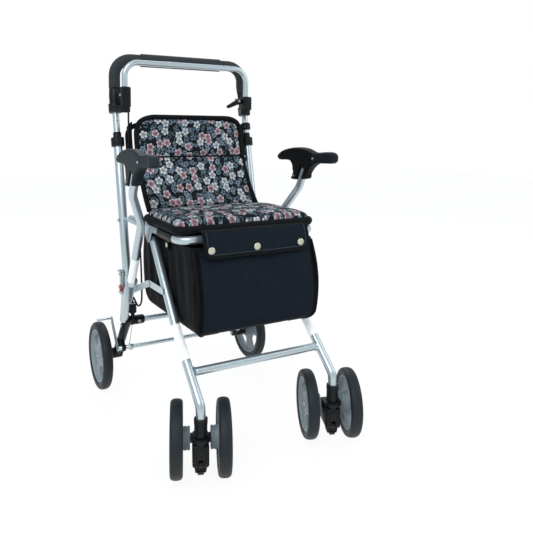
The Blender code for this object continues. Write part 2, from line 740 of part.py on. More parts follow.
def make_armrests():
    """Moulded armrests: a pommel, a swelling back and a round grip, on a stem that forks over the tube."""
    outline = [
        (0.0520, 0.6050), (0.0270, 0.6055), (0.0010, 0.6050), (-0.0105, 0.5965), (-0.0136, 0.5840),
        (-0.0125, 0.5700), (-0.0074, 0.5612), (-0.0235, 0.5586), (-0.0654, 0.5640), (-0.0695, 0.5729),
        (-0.0777, 0.5834), (-0.0920, 0.5950), (-0.1102, 0.6025), (-0.1400, 0.6045), (-0.1630, 0.6058),
        (-0.1715, 0.6120), (-0.1715, 0.6245), (-0.1625, 0.6305), (-0.1448, 0.6314), (-0.1194, 0.6293),
        (-0.0971, 0.6288), (-0.0845, 0.6321), (-0.0631, 0.6372), (-0.0346, 0.6391), (-0.0029, 0.6368),
        (0.0277, 0.6315), (0.0510, 0.6225), (0.0600, 0.6130),
    ]
    up = Vector((ARM_SLOPE, 1)).normalized()
    half = Vector((up.y, -up.x)) * (ARM_R + GAP)
    top = Vector((arm_y(ARM_TOP_Z), ARM_TOP_Z)) + up * GAP
    foot = Vector((arm_y(FORK_FOOT_Z), FORK_FOOT_Z))
    for name, side in SIDES.items():
        x = side * ARMREST_X
        body = moulded(outline, ARMREST_LEVELS, x)
        slot = side_plate([top - half, top + half, foot + half, foot - half], 3 * ARMREST_LEVELS[0][0], x)
        cut(body, slot)
        node(body, f"armrest_{name}", f"{name}_armrest")


def make_seat_frame(parent):
    """The seat's U-shaped rail, with its pivot holes and the gussets that carry the front legs."""
    back_y = SEAT_PIVOT[0] + RAIL_LAP
    corners = [
        (-RAIL_X, back_y, SEAT_Z), (-RAIL_X, RAIL_FRONT_Y, SEAT_Z),
        (RAIL_X, RAIL_FRONT_Y, SEAT_Z), (RAIL_X, back_y, SEAT_Z),
    ]
    rail = tube(rounded(corners, [RAIL_CORNER_R] * 2), RAIL_R)
    for side in SIDES.values():
        gusset = ring_hull([
            (*LEG_PIVOT, GUSSET_END_R), (LEG_PIVOT[0] - GUSSET_REACH, SEAT_Z, GUSSET_ROOT_R),
            (LEG_PIVOT[0] + GUSSET_REACH, SEAT_Z, GUSSET_ROOT_R),
        ])
        join(rail, side_plate(gusset, GUSSET_T, side * GUSSET_X))
        pin_end = LEG_X - LEG_R + GAP
        join(rail, bar_x(side * GUSSET_X, side * pin_end, LEG_PIVOT, PIVOT_PIN_R, PIN_SIDES))
        inner, outer = side * (RAIL_X - 2 * RAIL_R), side * (RAIL_X + 2 * RAIL_R)
        cut(rail, bar_x(inner, outer, SEAT_PIVOT, bore(SEAT_PIN_R, RUNNING, PIN_SIDES), PIN_SIDES))
    node(rail, "seat_frame_tube", "silver", parent)


def soft_pad(across, lengthwise, place):
    """A padded sheet. place gives a corner's position from u and v in -1..1 and whether it is on top."""
    shape = bmesh.new()
    bmesh.ops.create_grid(shape, x_segments=across, y_segments=lengthwise, size=1)
    made = bmesh.ops.extrude_face_region(shape, geom=list(shape.faces))
    upper = {item for item in made["geom"] if isinstance(item, bmesh.types.BMVert)}
    places = {corner: place(corner.co.x, corner.co.y, corner in upper) for corner in shape.verts}
    for corner, position in places.items():
        corner.co = position
    bmesh.ops.recalc_face_normals(shape, faces=shape.faces)
    mesh = bpy.data.meshes.new("pad")
    shape.to_mesh(mesh)
    shape.free()
    thing = linked(mesh)
    smooth = thing.modifiers.new("subdivision", "SUBSURF")
    smooth.levels = 1
    smooth.render_levels = 1
    return thing


def squared(u, v, corner):
    """Moves a point of the unit square so that its corners are rounded by a share of its half side."""
    reach = max(abs(u), abs(v))
    if reach == 0:
        return u, v
    past_u, past_v = abs(u) - (1 - corner), abs(v) - (1 - corner)
    if past_u <= 0 or past_v <= 0:
        return u, v
    length = math.hypot(past_u, past_v)
    scale = max(past_u, past_v) / length
    return (
        math.copysign(1 - corner + past_u * scale, u),
        math.copysign(1 - corner + past_v * scale, v),
    )


def make_seat(parent):
    """The seat board on the rails and the cushion on the board."""
    board_low = SEAT_Z + RAIL_R + RUNNING
    board_high = board_low + BOARD_T
    board = box((-CUSHION_HALF_W + BOARD_INSET, CUSHION_FRONT_Y + BOARD_INSET, board_low),
                (CUSHION_HALF_W - BOARD_INSET, CUSHION_BACK_Y - 2 * BOARD_INSET, board_high), BOARD_BEVEL)
    node(board, "seat_board", "black_plastic", parent)
    middle_y = (CUSHION_FRONT_Y + CUSHION_BACK_Y) / 2
    half_y = (CUSHION_BACK_Y - CUSHION_FRONT_Y) / 2
    foot = board_high + RUNNING

    def place(u, v, top):
        round_u, round_v = squared(u, v, CUSHION_CORNER_R / CUSHION_HALF_W)
        crown = (1 - u ** 4) * (1 - v ** 4)
        drawn = 1 if top else CUSHION_FOOT_SHARE
        height = CUSHION_BORDER + CUSHION_CROWN * crown if top else 0
        return Vector((round_u * CUSHION_HALF_W * drawn, middle_y + round_v * half_y * drawn, foot + height))

    node(soft_pad(8, 7, place), "seat_cushion", "seat_cloth", parent)


def make_backrest(parent):
    """The padded backrest: crowned, drawn in at its edges, with one sewn channel across it."""
    steps = BACKREST_STEPS
    start, first, second, end = [Vector((0, *point)) for point in BACKREST_CURVE]
    curve = interpolate_bezier(start, first, second, end, steps + 1)

    def place(u, v, top):
        share = (v + 1) / 2
        at = share * steps
        k = min(int(at), steps - 1)
        middle = curve[k].lerp(curve[k + 1], at - k)
        tangent = (curve[k + 1] - curve[k]).normalized()
        front = Vector((0, -tangent.z, tangent.y))
        rise = max(0.0, (share - TAPER_FROM) / (1 - TAPER_FROM))
        taper = 1 - math.sqrt(1 - rise ** 2)
        half_w = BACKREST_HALF_W + (BACKREST_TOP_HALF_W - BACKREST_HALF_W) * taper
        puff = (1 - u ** 4) * (1 - v ** 4)
        channel = math.exp(-((share - CHANNEL_AT) / CHANNEL_SPREAD) ** 2)
        if top:
            depth = BACKREST_CROWN * puff - BACKREST_CHANNEL * channel * (1 - u ** 6)
        else:
            depth = -BACKREST_EDGE - (BACKREST_THICKNESS - BACKREST_EDGE) * puff
            depth += BACKREST_CHANNEL * channel * (1 - u ** 6)
        return Vector((u * half_w, 0, 0)) + middle + front * depth

    node(soft_pad(8, 10, place), "backrest_cushion", "seat_cloth", parent)


def bag_outline(inset, top_z):
    """The bag's side view: front, rounded bottom and back. The inset draws it in by the wall."""
    (front_top_y, _), (bulge_y, bulge_z), (toe_y, toe_z) = BAG_FRONT
    (heel_y, heel_z), (back_y, back_z), _ = BAG_BACK
    corners = [
        (0, front_top_y + inset, top_z), (0, bulge_y + inset, bulge_z),
        (0, toe_y + inset, toe_z + inset),
        (0, heel_y - inset / 2, heel_z + inset), (0, back_y - inset, back_z + inset / 2),
        (0, back_y - inset, top_z),
    ]
    path = rounded(corners, BAG_RADII)
    return [(point.y, point.z) for point in path]


def make_bag():
    """The bag's open-topped shell, under the seat and between the front legs."""
    bag = side_plate(bag_outline(0, BAG_TOP_Z), 2 * BAG_HALF_W, 0)
    cut(bag, side_plate(bag_outline(BAG_WALL, BAG_TOP_Z + BAG_WALL), 2 * (BAG_HALF_W - BAG_WALL), 0))
    node(bag, "bag", "bag_cloth")


def make_flap(parent):
    """The flap over the bag's front, hinged at its upper edge."""
    hinge_y, hinge_z = FLAP_HINGE
    half = FLAP_T / 2
    foot_y = hinge_y - FLAP_LEAN
    outline = [
        (hinge_y + half, hinge_z), (hinge_y - half, hinge_z),
        (foot_y - half, FLAP_FOOT_Z), (foot_y + half, FLAP_FOOT_Z),
    ]
    node(side_plate(outline, 2 * FLAP_HALF_W, 0), "bag_flap", "bag_cloth", parent)


def leg_path(side):
    """The front leg's centre line, from above its pivot to inside the caster socket."""
    pivot_place = Vector(LEG_PIVOT)
    lap = (pivot_place - Vector(LEG_KNEE)).normalized() * LEG_TOP_LAP
    x = side * LEG_X
    corners = [
        (x, *(pivot_place + lap)), (x, *LEG_KNEE), (x, *LEG_FOOT),
        (x, STEM_Y, SOCKET_TOP_Z), (x, STEM_Y, LEG_END_Z),
    ]
    return rounded(corners, LEG_BENDS)


def make_front_frame(parent):
    """The front legs with the stays' pivot pins, and the crossbar between them."""
    for name, side in SIDES.items():
        leg = tube(leg_path(side), LEG_R)
        pin_end = side * (FRONT_STAY_X + STAY_T / 2 - GAP / 2)
        join(leg, bar_x(side * LEG_X, pin_end, STAY_LEG_PIVOT, PIVOT_PIN_R, PIN_SIDES))
        inner, outer = side * (LEG_X - 2 * LEG_R), side * (LEG_X + 2 * LEG_R)
        cut(leg, bar_x(inner, outer, LEG_PIVOT, bore(PIVOT_PIN_R, RUNNING, PIN_SIDES), PIN_SIDES))
        node(leg, f"front_leg_{name}", "silver", parent)
    end = LEG_X - LEG_R - GAP
    node(bar_x(-end, end, FRONT_BAR_AXIS, FRONT_BAR_R), "front_crossbar", "silver", parent)


def make_stays(rear_parent, front_parent):
    """Two-piece folding stays from the posts to the front legs, side by side at the knee."""
    for name, side in SIDES.items():
        rear = side_plate(ring_hull([(*STAY_POST_PIVOT, STAY_END_R), (*KNEE, STAY_END_R)]),
                          STAY_T, side * REAR_STAY_X)
        hole_x = side * (FRONT_STAY_X - STAY_T), side * (REAR_STAY_X + STAY_T)
        hole_r = bore(PIVOT_PIN_R, RUNNING, PIN_SIDES)
        cut(rear, bar_x(*hole_x, STAY_POST_PIVOT, hole_r, PIN_SIDES))
        node(rear, f"rear_stay_{name}", "silver", rear_parent)
        front = side_plate(ring_hull([(*STAY_LEG_PIVOT, STAY_END_R), (*KNEE, STAY_END_R)]),
                           STAY_T, side * FRONT_STAY_X)
        cut(front, bar_x(*hole_x, STAY_LEG_PIVOT, hole_r, PIN_SIDES))
        node(front, f"front_stay_{name}", "silver", front_parent)


def rim_profile(rim_r, boss_r, boss_length):
    """Half a wheel's section, from the middle of its outer face round to the axle's blind bore."""
    web, lip = RIM_WEB, RIM_LIP
    boss_end = TYRE_W / 2 + boss_length
    bore_r = bore(AXLE_R, RUNNING, TYRE_STEPS)
    return [
        (0, web), (rim_r - lip, web), (rim_r - lip, RIM_HALF_W), (rim_r, RIM_HALF_W), (rim_r, -RIM_HALF_W),
        (rim_r - lip, -RIM_HALF_W), (rim_r - lip, -web), (boss_r, -web), (boss_r, -boss_end),
        (bore_r, -boss_end), (bore_r, 0), (0, 0),
    ]


def tyre_profile(tyre_r, rim_r):
    """The tyre's section: a flat tread, round shoulders and full side walls."""
    inner = rim_r + 2 * GAP
    half = TYRE_W / 2
    tread = TREAD_HALF_W
    shoulder_drop, shoulder = TYRE_SHOULDER
    side_r = (tyre_r + rim_r) / 2
    return [
        (inner, RIM_HALF_W), (side_r, half), (tyre_r - shoulder_drop, shoulder), (tyre_r, tread),
        (tyre_r, -tread), (tyre_r - shoulder_drop, -shoulder), (side_r, -half), (inner, -RIM_HALF_W),
    ]


def wheel_window(rim_r, angle, matrix):
    """A cutter for one opening between two spokes: a sector of the web."""
    inner, outer = WINDOW_INNER * rim_r, rim_r - WINDOW_MARGIN
    arc = [angle + WINDOW_HALF_ANGLE * k for k in (-1, 0, 1)]
    outline = [(outer * math.cos(a), outer * math.sin(a)) for a in arc]
    outline += [(inner * math.cos(a), inner * math.sin(a)) for a in (arc[2], arc[0])]
    return plate(outline, TYRE_W, matrix)


def make_wheel(name, matrix, parent, tyre_r, rim_r, boss_r, boss_length):
    """A rim with four windows between broad spokes, and the tyre on it. Local Z is the wheel's outer side."""
    rim = turned(rim_profile(rim_r, boss_r, boss_length), TYRE_STEPS, matrix @ FACET_TURN)
    for k in range(4):
        cut(rim, wheel_window(rim_r, math.pi * k / 2 + WINDOW_TURN, matrix))
    node(rim, f"{name.replace('wheel', 'rim')}", "rim_grey", parent)
    tyre = turned(tyre_profile(tyre_r, rim_r), TYRE_STEPS, matrix @ FACET_TURN, closed=True)
    node(tyre, f"{name.replace('wheel', 'tyre')}", "tyre_rubber", parent)


def make_rear_wheels():
    """Single rear wheels on the stub axles."""
    for name, side in SIDES.items():
        centre = (side * REAR_WHEEL_X, REAR_AXLE_Y, REAR_AXLE_Z)
        outward = Matrix.Diagonal((side, 1, 1, 1)) if side > 0 else Matrix.Rotation(math.pi, 4, "Z")
        matrix = Matrix.Translation(centre) @ outward @ AXLE_TURN
        hub = pivot(f"rear_wheel_axis_{name}", centre)
        make_wheel(f"rear_wheel_{name}", matrix, hub, REAR_WHEEL_R, REAR_RIM_R, REAR_BOSS_R, REAR_BOSS_LENGTH)


def make_caster_body(name, stem, parent):
    """The caster's fork: stem, flange, block and the axle through it."""
    flange_low = SOCKET_FOOT_Z - RUNNING - FLANGE_T
    chamfer = FLANGE_CHAMFER
    neck_low = BLOCK_TOP_Z - BLOCK_BEVEL
    profile = [
        (0, SOCKET_FOOT_Z + STEM_HEIGHT), (STEM_R, SOCKET_FOOT_Z + STEM_HEIGHT),
        (STEM_R, SOCKET_FOOT_Z - RUNNING), (FLANGE_R - chamfer, SOCKET_FOOT_Z - RUNNING),
        (FLANGE_R, SOCKET_FOOT_Z - RUNNING - chamfer),
        (FLANGE_R, flange_low + chamfer), (FLANGE_R - 2 * chamfer, flange_low), (CASTER_NECK_R, flange_low),
        (CASTER_NECK_R, neck_low), (0, neck_low),
    ]
    body = turned(profile, TURNED_STEPS, stem)
    half = BLOCK_W / 2
    block = box((-half, BLOCK_FRONT_Y, BLOCK_FOOT_Z), (half, BLOCK_BACK_Y, BLOCK_TOP_Z), BLOCK_BEVEL, stem)
    join(body, block)
    reach = WHEEL_SPACING - AXLE_TIP
    axle = bar_x(-reach, reach, (CASTER_TRAIL, FRONT_AXLE_Z), AXLE_R, PIN_SIDES)
    axle.matrix_basis = stem
    join(body, axle)
    slot_half = LOCK_EAR_W / 2 + RUNNING
    slot_low = (-slot_half, BLOCK_FRONT_Y - BLOCK_BEVEL, BLOCK_FOOT_Z - BLOCK_BEVEL)
    slot = box(slot_low, (slot_half, *LOCK_SLOT_END), 0, stem)
    cut(body, slot)
    pin = bar_x(-slot_half - PIN_ROOT, slot_half + PIN_ROOT, LOCK_PIVOT, LOCK_PIN_R, PIN_SIDES)
    pin.matrix_basis = stem
    join(body, pin)
    node(body, f"caster_body_{name}", "black_plastic", parent)


def make_caster_lock(name, stem, parent):
    """The swivel lock's lever, hinged in a slot at the block's front."""
    half, ear = LOCK_W / 2, LOCK_EAR_W / 2
    pivot_y, pivot_z = LOCK_PIVOT
    high = BLOCK_FOOT_Z - RUNNING
    near, far = LOCK_REACH
    lever = box((-half, pivot_y + near, LOCK_FOOT_Z), (half, pivot_y + far, high), LOCK_BEVEL, stem)
    root = (pivot_y + near + LOCK_EYE_R, high - LOCK_EYE_R, LOCK_EYE_R)
    ear_plate = side_plate(ring_hull([(pivot_y, pivot_z, LOCK_EYE_R), root]), 2 * ear, 0)
    ear_plate.matrix_basis = stem @ ear_plate.matrix_basis
    join(lever, ear_plate)
    hole = bar_x(-half, half, LOCK_PIVOT, bore(LOCK_PIN_R, RUNNING, PIN_SIDES), PIN_SIDES)
    hole.matrix_basis = stem
    cut(lever, hole)
    node(lever, f"caster_lock_{name}", "black_plastic", parent)


def make_casters(front_frame):
    """Twin-wheel casters, both swung the same way, in sockets on the front legs' feet."""
    for name, side in SIDES.items():
        place = Vector((side * LEG_X, STEM_Y, 0))
        stem_bore = bore(STEM_R, RUNNING, TURNED_STEPS)
        leg_bore = bore(LEG_R, GAP, TURNED_STEPS)
        floor = LEG_END_Z - GAP
        ceiling = SOCKET_FOOT_Z + STEM_HEIGHT + RUNNING
        profile = [
            (0, floor), (leg_bore, floor), (leg_bore, SOCKET_TOP_Z), (SOCKET_R, SOCKET_TOP_Z),
            (SOCKET_R, SOCKET_FOOT_Z), (stem_bore, SOCKET_FOOT_Z), (stem_bore, ceiling), (0, ceiling),
        ]
        socket = turned(profile, TURNED_STEPS, Matrix.Translation(place))
        node(socket, f"caster_socket_{name}", "black_plastic", front_frame)
        swivel = pivot(f"caster_axis_{name}", place + Vector((0, 0, SOCKET_FOOT_Z)), front_frame)
        stem = Matrix.Translation(place) @ Matrix.Rotation(CASTER_TURN, 4, "Z")
        make_caster_body(name, stem, swivel)
        lock = pivot(f"caster_lock_axis_{name}", stem @ Vector((0, *LOCK_PIVOT)), swivel)
        make_caster_lock(name, stem, lock)
        for end, way in (("a", -1), ("b", 1)):
            centre = Vector((way * WHEEL_SPACING, CASTER_TRAIL, FRONT_AXLE_Z))
            outward = Matrix.Rotation(0 if way > 0 else math.pi, 4, "Z")
            matrix = stem @ Matrix.Translation(centre) @ outward @ AXLE_TURN
            axis = pivot(f"front_wheel_axis_{name}_{end}", stem @ centre, swivel)
            make_wheel(f"front_wheel_{name}_{end}", matrix, axis, FRONT_WHEEL_R, FRONT_RIM_R,
                       FRONT_BOSS_R, FRONT_BOSS_LENGTH)


def handle_point(z):
    """A point on the handle's left leg at this height: on the post's line, then on the line to the foam."""
    low = Vector((-POST_X, post_y(BRACKET_BEND_Z), BRACKET_BEND_Z))
    high = Vector((-HANDLE_X, HANDLE_Y, HANDLE_BEND_Z))
    if z < BRACKET_BEND_Z:
        return Vector((-POST_X, post_y(z), z))
    return low.lerp(high, (z - BRACKET_BEND_Z) / (HANDLE_BEND_Z - BRACKET_BEND_Z))


def handle_path(foot_z):
    """The handle's centre line from a height on the left leg, over the top, to the right leg."""
    half = [handle_point(foot_z)]
    radii = [HANDLE_BEND_R, HANDLE_CORNER_R]
    if foot_z < BRACKET_BEND_Z:
        half.append(handle_point(BRACKET_BEND_Z))
        radii = [HANDLE_BEND_R] + radii
    half += [handle_point(HANDLE_BEND_Z), Vector((-HANDLE_X, HANDLE_Y, HANDLE_TOP_Z))]
    other = [Vector((-point.x, point.y, point.z)) for point in half[::-1]]
    return rounded(half + other, radii + radii[::-1])


def make_handle(parent):
    """The telescopic handle tube with its foam sleeve, centre grip and height ring."""
    node(tube(handle_path(INNER_TUBE_FOOT_Z), INNER_TUBE_R), "handle_tube", "silver", parent)
    foam = tube(handle_path(FOAM_FOOT_Z), FOAM_R)
    cut(foam, tube(handle_path(BRACKET_Z[1]), bore(INNER_TUBE_R)))
    node(foam, "handle_foam", "black_foam", parent)
    top = (HANDLE_Y, HANDLE_TOP_Z)
    grip = bar_x(-GRIP_HALF_W, GRIP_HALF_W, top, GRIP_R)
    cut(grip, bar_x(-HANDLE_X, HANDLE_X, top, bore(FOAM_R)))
    node(grip, "handle_grip", "black_foam", parent)
    low_z, high_z = RING_Z
    middle = (low_z + high_z) / 2
    half = (high_z - low_z) / 2
    bore_r = bore(INNER_TUBE_R, GAP, TURNED_STEPS)
    profile = [
        (RING_R - RING_CHAMFER, half), (RING_R, half - RING_CHAMFER), (RING_R, -half + RING_CHAMFER),
        (RING_R - RING_CHAMFER, -half), (bore_r, -half), (bore_r, half),
    ]
    ring = turned(profile, TURNED_STEPS, along(POST_AXIS, (POST_X, post_y(middle), middle)), closed=True)
    node(ring, "height_ring", "black_plastic", parent)


def make_brackets(parent):
    """Brackets that join the handle tube, the brake bar's sockets and the parking lever's ear."""
    low_z, high_z = BRACKET_Z
    middle_z = (low_z + high_z) / 2
    block_x, block_y, block_z = SOCKET_BLOCK
    ear_back = BRAKE_BAR_Y + PARKING_EAR_BACK
    for name, side in SIDES.items():
        bar_place = (side * BRAKE_BAR_X, BRAKE_BAR_Y)
        outline = ring_hull([(side * POST_X, post_y(middle_z), BRACKET_R), (*bar_place, BRACKET_NOSE_R)])
        bracket = plan_plate(outline, high_z - low_z, middle_z)
        line = [handle_point(z) for z in (middle_z, BRACKET_BEND_Z, FOAM_FOOT_Z - 2 * RUNNING)]
        join(bracket, tube([(-side * x, y, z) for x, y, z in line], BRACKET_SLEEVE_R))
        low = Vector((side * BRAKE_BAR_X - block_x / 2, BRAKE_BAR_Y - block_y / 2, high_z - SOCKET_BEVEL))
        join(bracket, box(low, low + Vector((block_x, block_y, block_z)), SOCKET_BEVEL))
        if side > 0:
            pin_x, pin_z = PARKING_PIVOT
            ear = box((pin_x - PARKING_EAR_R, ear_back - PARKING_EAR_T, pin_z - PARKING_EAR_R),
                      (BRAKE_BAR_X - block_x / 2 + SOCKET_BEVEL, ear_back, pin_z + PARKING_EAR_R))
            lever_front = BRAKE_BAR_Y + PARKING_BEHIND - PARKING_T / 2
            pin = [(pin_x, y, pin_z) for y in (ear_back - PARKING_EAR_T / 2, lever_front - RUNNING)]
            join(bracket, ear, tube(pin, PARKING_PIN_R, PIN_SIDES))
        half = BRAKE_BAR_R + 1.5 * RUNNING
        pocket = box((side * BRAKE_BAR_X - half, BRAKE_BAR_Y - POCKET_AHEAD, BRAKE_BAR_FOOT_Z - POCKET_BELOW),
                     (side * BRAKE_BAR_X + half, BRAKE_BAR_Y + POCKET_BEHIND, high_z + 2 * block_z))
        cut(bracket, pocket)
        ends = side * BRAKE_BAR_X - half - SOCKET_BEVEL, side * BRAKE_BAR_X + half + SOCKET_BEVEL
        join(bracket, bar_x(*ends, (BRAKE_BAR_Y, BRAKE_PIVOT_Z), BRAKE_PIN_R, PIN_SIDES))
        cut(bracket, tube(handle_path(low_z - block_y), bore(INNER_TUBE_R)))
        node(bracket, f"handle_bracket_{name}", "black_plastic", parent)


def make_brake_bar(parent):
    """The U-shaped brake bar in front of the handle."""
    corners = [
        (-BRAKE_BAR_X, BRAKE_BAR_Y, BRAKE_BAR_FOOT_Z), (-BRAKE_BAR_X, BRAKE_BAR_Y, BRAKE_BAR_TOP_Z),
        (BRAKE_BAR_X, BRAKE_BAR_Y, BRAKE_BAR_TOP_Z), (BRAKE_BAR_X, BRAKE_BAR_Y, BRAKE_BAR_FOOT_Z),
    ]
    bar = tube(rounded(corners, [BRAKE_BAR_CORNER_R] * 2), BRAKE_BAR_R)
    reach = BRAKE_BAR_X + 2 * BRAKE_BAR_R
    hole_r = bore(BRAKE_PIN_R, RUNNING, PIN_SIDES)
    cut(bar, bar_x(-reach, reach, (BRAKE_BAR_Y, BRAKE_PIVOT_Z), hole_r, PIN_SIDES))
    node(bar, "brake_bar", "silver", parent)


def make_parking_lever(parent):
    """The wedge-shaped parking lever on the right bracket, with its tip inboard."""
    pin_x, pin_z = PARKING_PIVOT
    root_r, tip_r = PARKING_R
    outline = ring_hull([(pin_x, pin_z, root_r), (*PARKING_TIP, tip_r)])
    lever = front_plate(outline, PARKING_T, BRAKE_BAR_Y + PARKING_BEHIND)
    hole = [(pin_x, BRAKE_BAR_Y + reach, pin_z) for reach in (-2 * PARKING_T, 2 * PARKING_T)]
    cut(lever, tube(hole, bore(PARKING_PIN_R, RUNNING, PIN_SIDES), PIN_SIDES))
    node(lever, "parking_lever", "black_plastic", parent)


def make_torsion_bar(parent):
    """The brake's cross bar, with an arm and a pad over each rear tyre."""
    arm_x = REAR_LEG_X + REAR_LEG_R + RUNNING + BRAKE_ARM_T / 2
    bar = bar_x(-arm_x, arm_x, TORSION_AXIS, TORSION_R)
    for side in SIDES.values():
        arm = ring_hull([(*TORSION_AXIS, TORSION_R), (*BRAKE_PAD, BRAKE_PAD_W / 2)])
        join(bar, side_plate(arm, BRAKE_ARM_T, side * arm_x))
        ends = sorted((side * (arm_x - BRAKE_ARM_T / 2), side * (REAR_WHEEL_X + RIM_HALF_W)))
        pad_y, pad_z = BRAKE_PAD
        half = BRAKE_PAD_T / 2
        low = (ends[0], pad_y - BRAKE_PAD_W / 2, pad_z - half)
        join(bar, box(low, (ends[1], pad_y + BRAKE_PAD_W / 2, pad_z + half)))
    node(bar, "brake_torsion_bar", "silver", parent)


def smooth_route(points, spacing):
    """A route through the points on a Catmull-Rom curve, with a point about every spacing."""
    points = [Vector(point) for point in points]
    padded = [2 * points[0] - points[1]] + points + [2 * points[-1] - points[-2]]
    route = []
    for p, q, r, s in zip(padded, padded[1:], padded[2:], padded[3:]):
        steps = max(1, round((r - q).length / spacing))
        for k in range(steps):
            t = k / steps
            route.append(0.5 * ((2 * q) + (r - p) * t + (2 * p - 5 * q + 4 * r - s) * t ** 2
                                + (3 * q - p - 3 * r + s) * t ** 3))
    return route + [points[-1]]


def make_cable():
    """The brake cable from the left bracket to the barrel, and the barrel on the cross clamp."""
    barrel_x = -(REAR_LEG_X - BARREL_INBOARD)
    barrel_y, barrel_low = BARREL_PLACE
    barrel_top = barrel_low + BARREL_HEIGHT
    neck_low = CROSS_TUBE_AXIS[1] + CLAMP_R / 2 - barrel_low
    shoulder = BARREL_HEIGHT - BARREL_CAP_R / 3
    profile = [
        (0, BARREL_HEIGHT), (BARREL_CAP_R, BARREL_HEIGHT), (BARREL_CAP_R, shoulder), (BARREL_R, shoulder),
        (BARREL_R, 0), (BARREL_NECK_R, 0), (BARREL_NECK_R, neck_low), (0, neck_low),
    ]
    barrel = turned(profile, TURNED_STEPS, Matrix.Translation((barrel_x, barrel_y, barrel_low)))
    ends = barrel_x - 2 * BARREL_R, barrel_x + 2 * BARREL_R
    cut(barrel, bar_x(*ends, CROSS_TUBE_AXIS, bore(CLAMP_R)))
    node(barrel, "cable_barrel", "black_plastic")
    top = barrel_top + GAP
    route = [
        (-0.1590, 0.1690, BRACKET_Z[0] - GAP), (-0.1590, 0.1690, BRACKET_Z[0] - 0.0150),
        (-0.1592, 0.1670, 0.6400), (-0.1592, 0.1655, 0.5790), (-0.1585, 0.1640, 0.5400),
        (-0.1500, 0.1600, 0.5100), (-0.1440, 0.1520, 0.4600), (-0.1440, 0.1300, 0.3800),
        (-0.1470, 0.1130, 0.3050), (-0.1500, 0.1060, 0.2640), (-0.1540, 0.1170, 0.2500),
        (-0.1560, 0.1330, 0.2560), (-0.1575, 0.1450, 0.2640), (barrel_x, barrel_y, top + 0.0090),
        (barrel_x, barrel_y, top),
    ]
    node(tube(smooth_route(route, CABLE_SPACING), CABLE_R, PIN_SIDES), "brake_cable", "black_plastic")


def make_fold_lock(parent):
    """The fold lock on the left post: a plate with a lever hinged at its upper bolt."""
    plate_x = -(POST_X + POST_R + GAP + FOLD_LOCK_T / 2)
    lower = (post_low_y(STAY_POST_Z), STAY_POST_Z)
    outline = ring_hull([(*LOCK_PLATE_TOP, FOLD_LOCK_R), (*lower, FOLD_LOCK_R)])
    base = side_plate(outline, FOLD_LOCK_T, plate_x)
    lever_x = plate_x - FOLD_LOCK_T - RUNNING
    pin_end = lever_x - FOLD_LOCK_T / 2 - GAP
    join(base, bar_x(plate_x, pin_end, LOCK_PLATE_TOP, FOLD_LOCK_PIN_R, PIN_SIDES))
    node(base, "fold_lock_plate", "silver")
    root_r, tip_r = FOLD_LEVER_R
    outline = ring_hull([(*LOCK_PLATE_TOP, root_r), (*FOLD_LEVER_TIP, tip_r)])
    lever = side_plate(outline, FOLD_LOCK_T, lever_x)
    ends = (lever_x - FOLD_LOCK_T, lever_x + FOLD_LOCK_T)
    cut(lever, bar_x(*ends, LOCK_PLATE_TOP, bore(FOLD_LOCK_PIN_R, RUNNING, PIN_SIDES), PIN_SIDES))
    node(lever, "fold_lock_lever", "steel", parent)


def build():
    """Makes every body's pivot and every node."""
    make_materials()
    seat_fold = pivot("seat_fold_axis", (0, *SEAT_PIVOT))
    front_frame = pivot("front_frame_axis", (0, *LEG_PIVOT), seat_fold)
    rear_stays = pivot("rear_stay_axis", (0, *STAY_POST_PIVOT))
    front_stays = pivot("front_stay_axis", (0, *STAY_LEG_PIVOT), front_frame)
    backrest = pivot("backrest_axis", (0, *HOOP_PIVOT))
    flap = pivot("bag_flap_axis", (0, *FLAP_HINGE), seat_fold)
    handle = pivot("handle_axis", (0, post_y(POST_TOP_Z), POST_TOP_Z))
    brake_bar = pivot("brake_bar_axis", (0, BRAKE_BAR_Y, BRAKE_PIVOT_Z), handle)
    parking = pivot("parking_axis", (PARKING_PIVOT[0], BRAKE_BAR_Y, PARKING_PIVOT[1]), handle)
    torsion = pivot("torsion_axis", (0, *TORSION_AXIS))
    fold_lock = pivot("fold_lock_axis", (-(POST_X + POST_R), *LOCK_PLATE_TOP))

    make_posts()
    make_collars()
    make_rear_legs()
    make_rear_axles()
    make_cross_tube()
    make_hoop()
    make_arm_tubes()
    make_armrests()
    make_seat_frame(seat_fold)
    make_seat(seat_fold)
    make_backrest(backrest)
    make_bag()
    make_flap(flap)
    make_front_frame(front_frame)
    make_stays(rear_stays, front_stays)
    make_rear_wheels()
    make_casters(front_frame)
    make_handle(handle)
    make_brackets(handle)
    make_brake_bar(brake_bar)
    make_parking_lever(parking)
    make_torsion_bar(torsion)
    make_cable()
    make_fold_lock(fold_lock)


build()
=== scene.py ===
"""Looks of a folding shopping rollator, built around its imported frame."""

import math

import bpy
from mathutils import Matrix, Vector


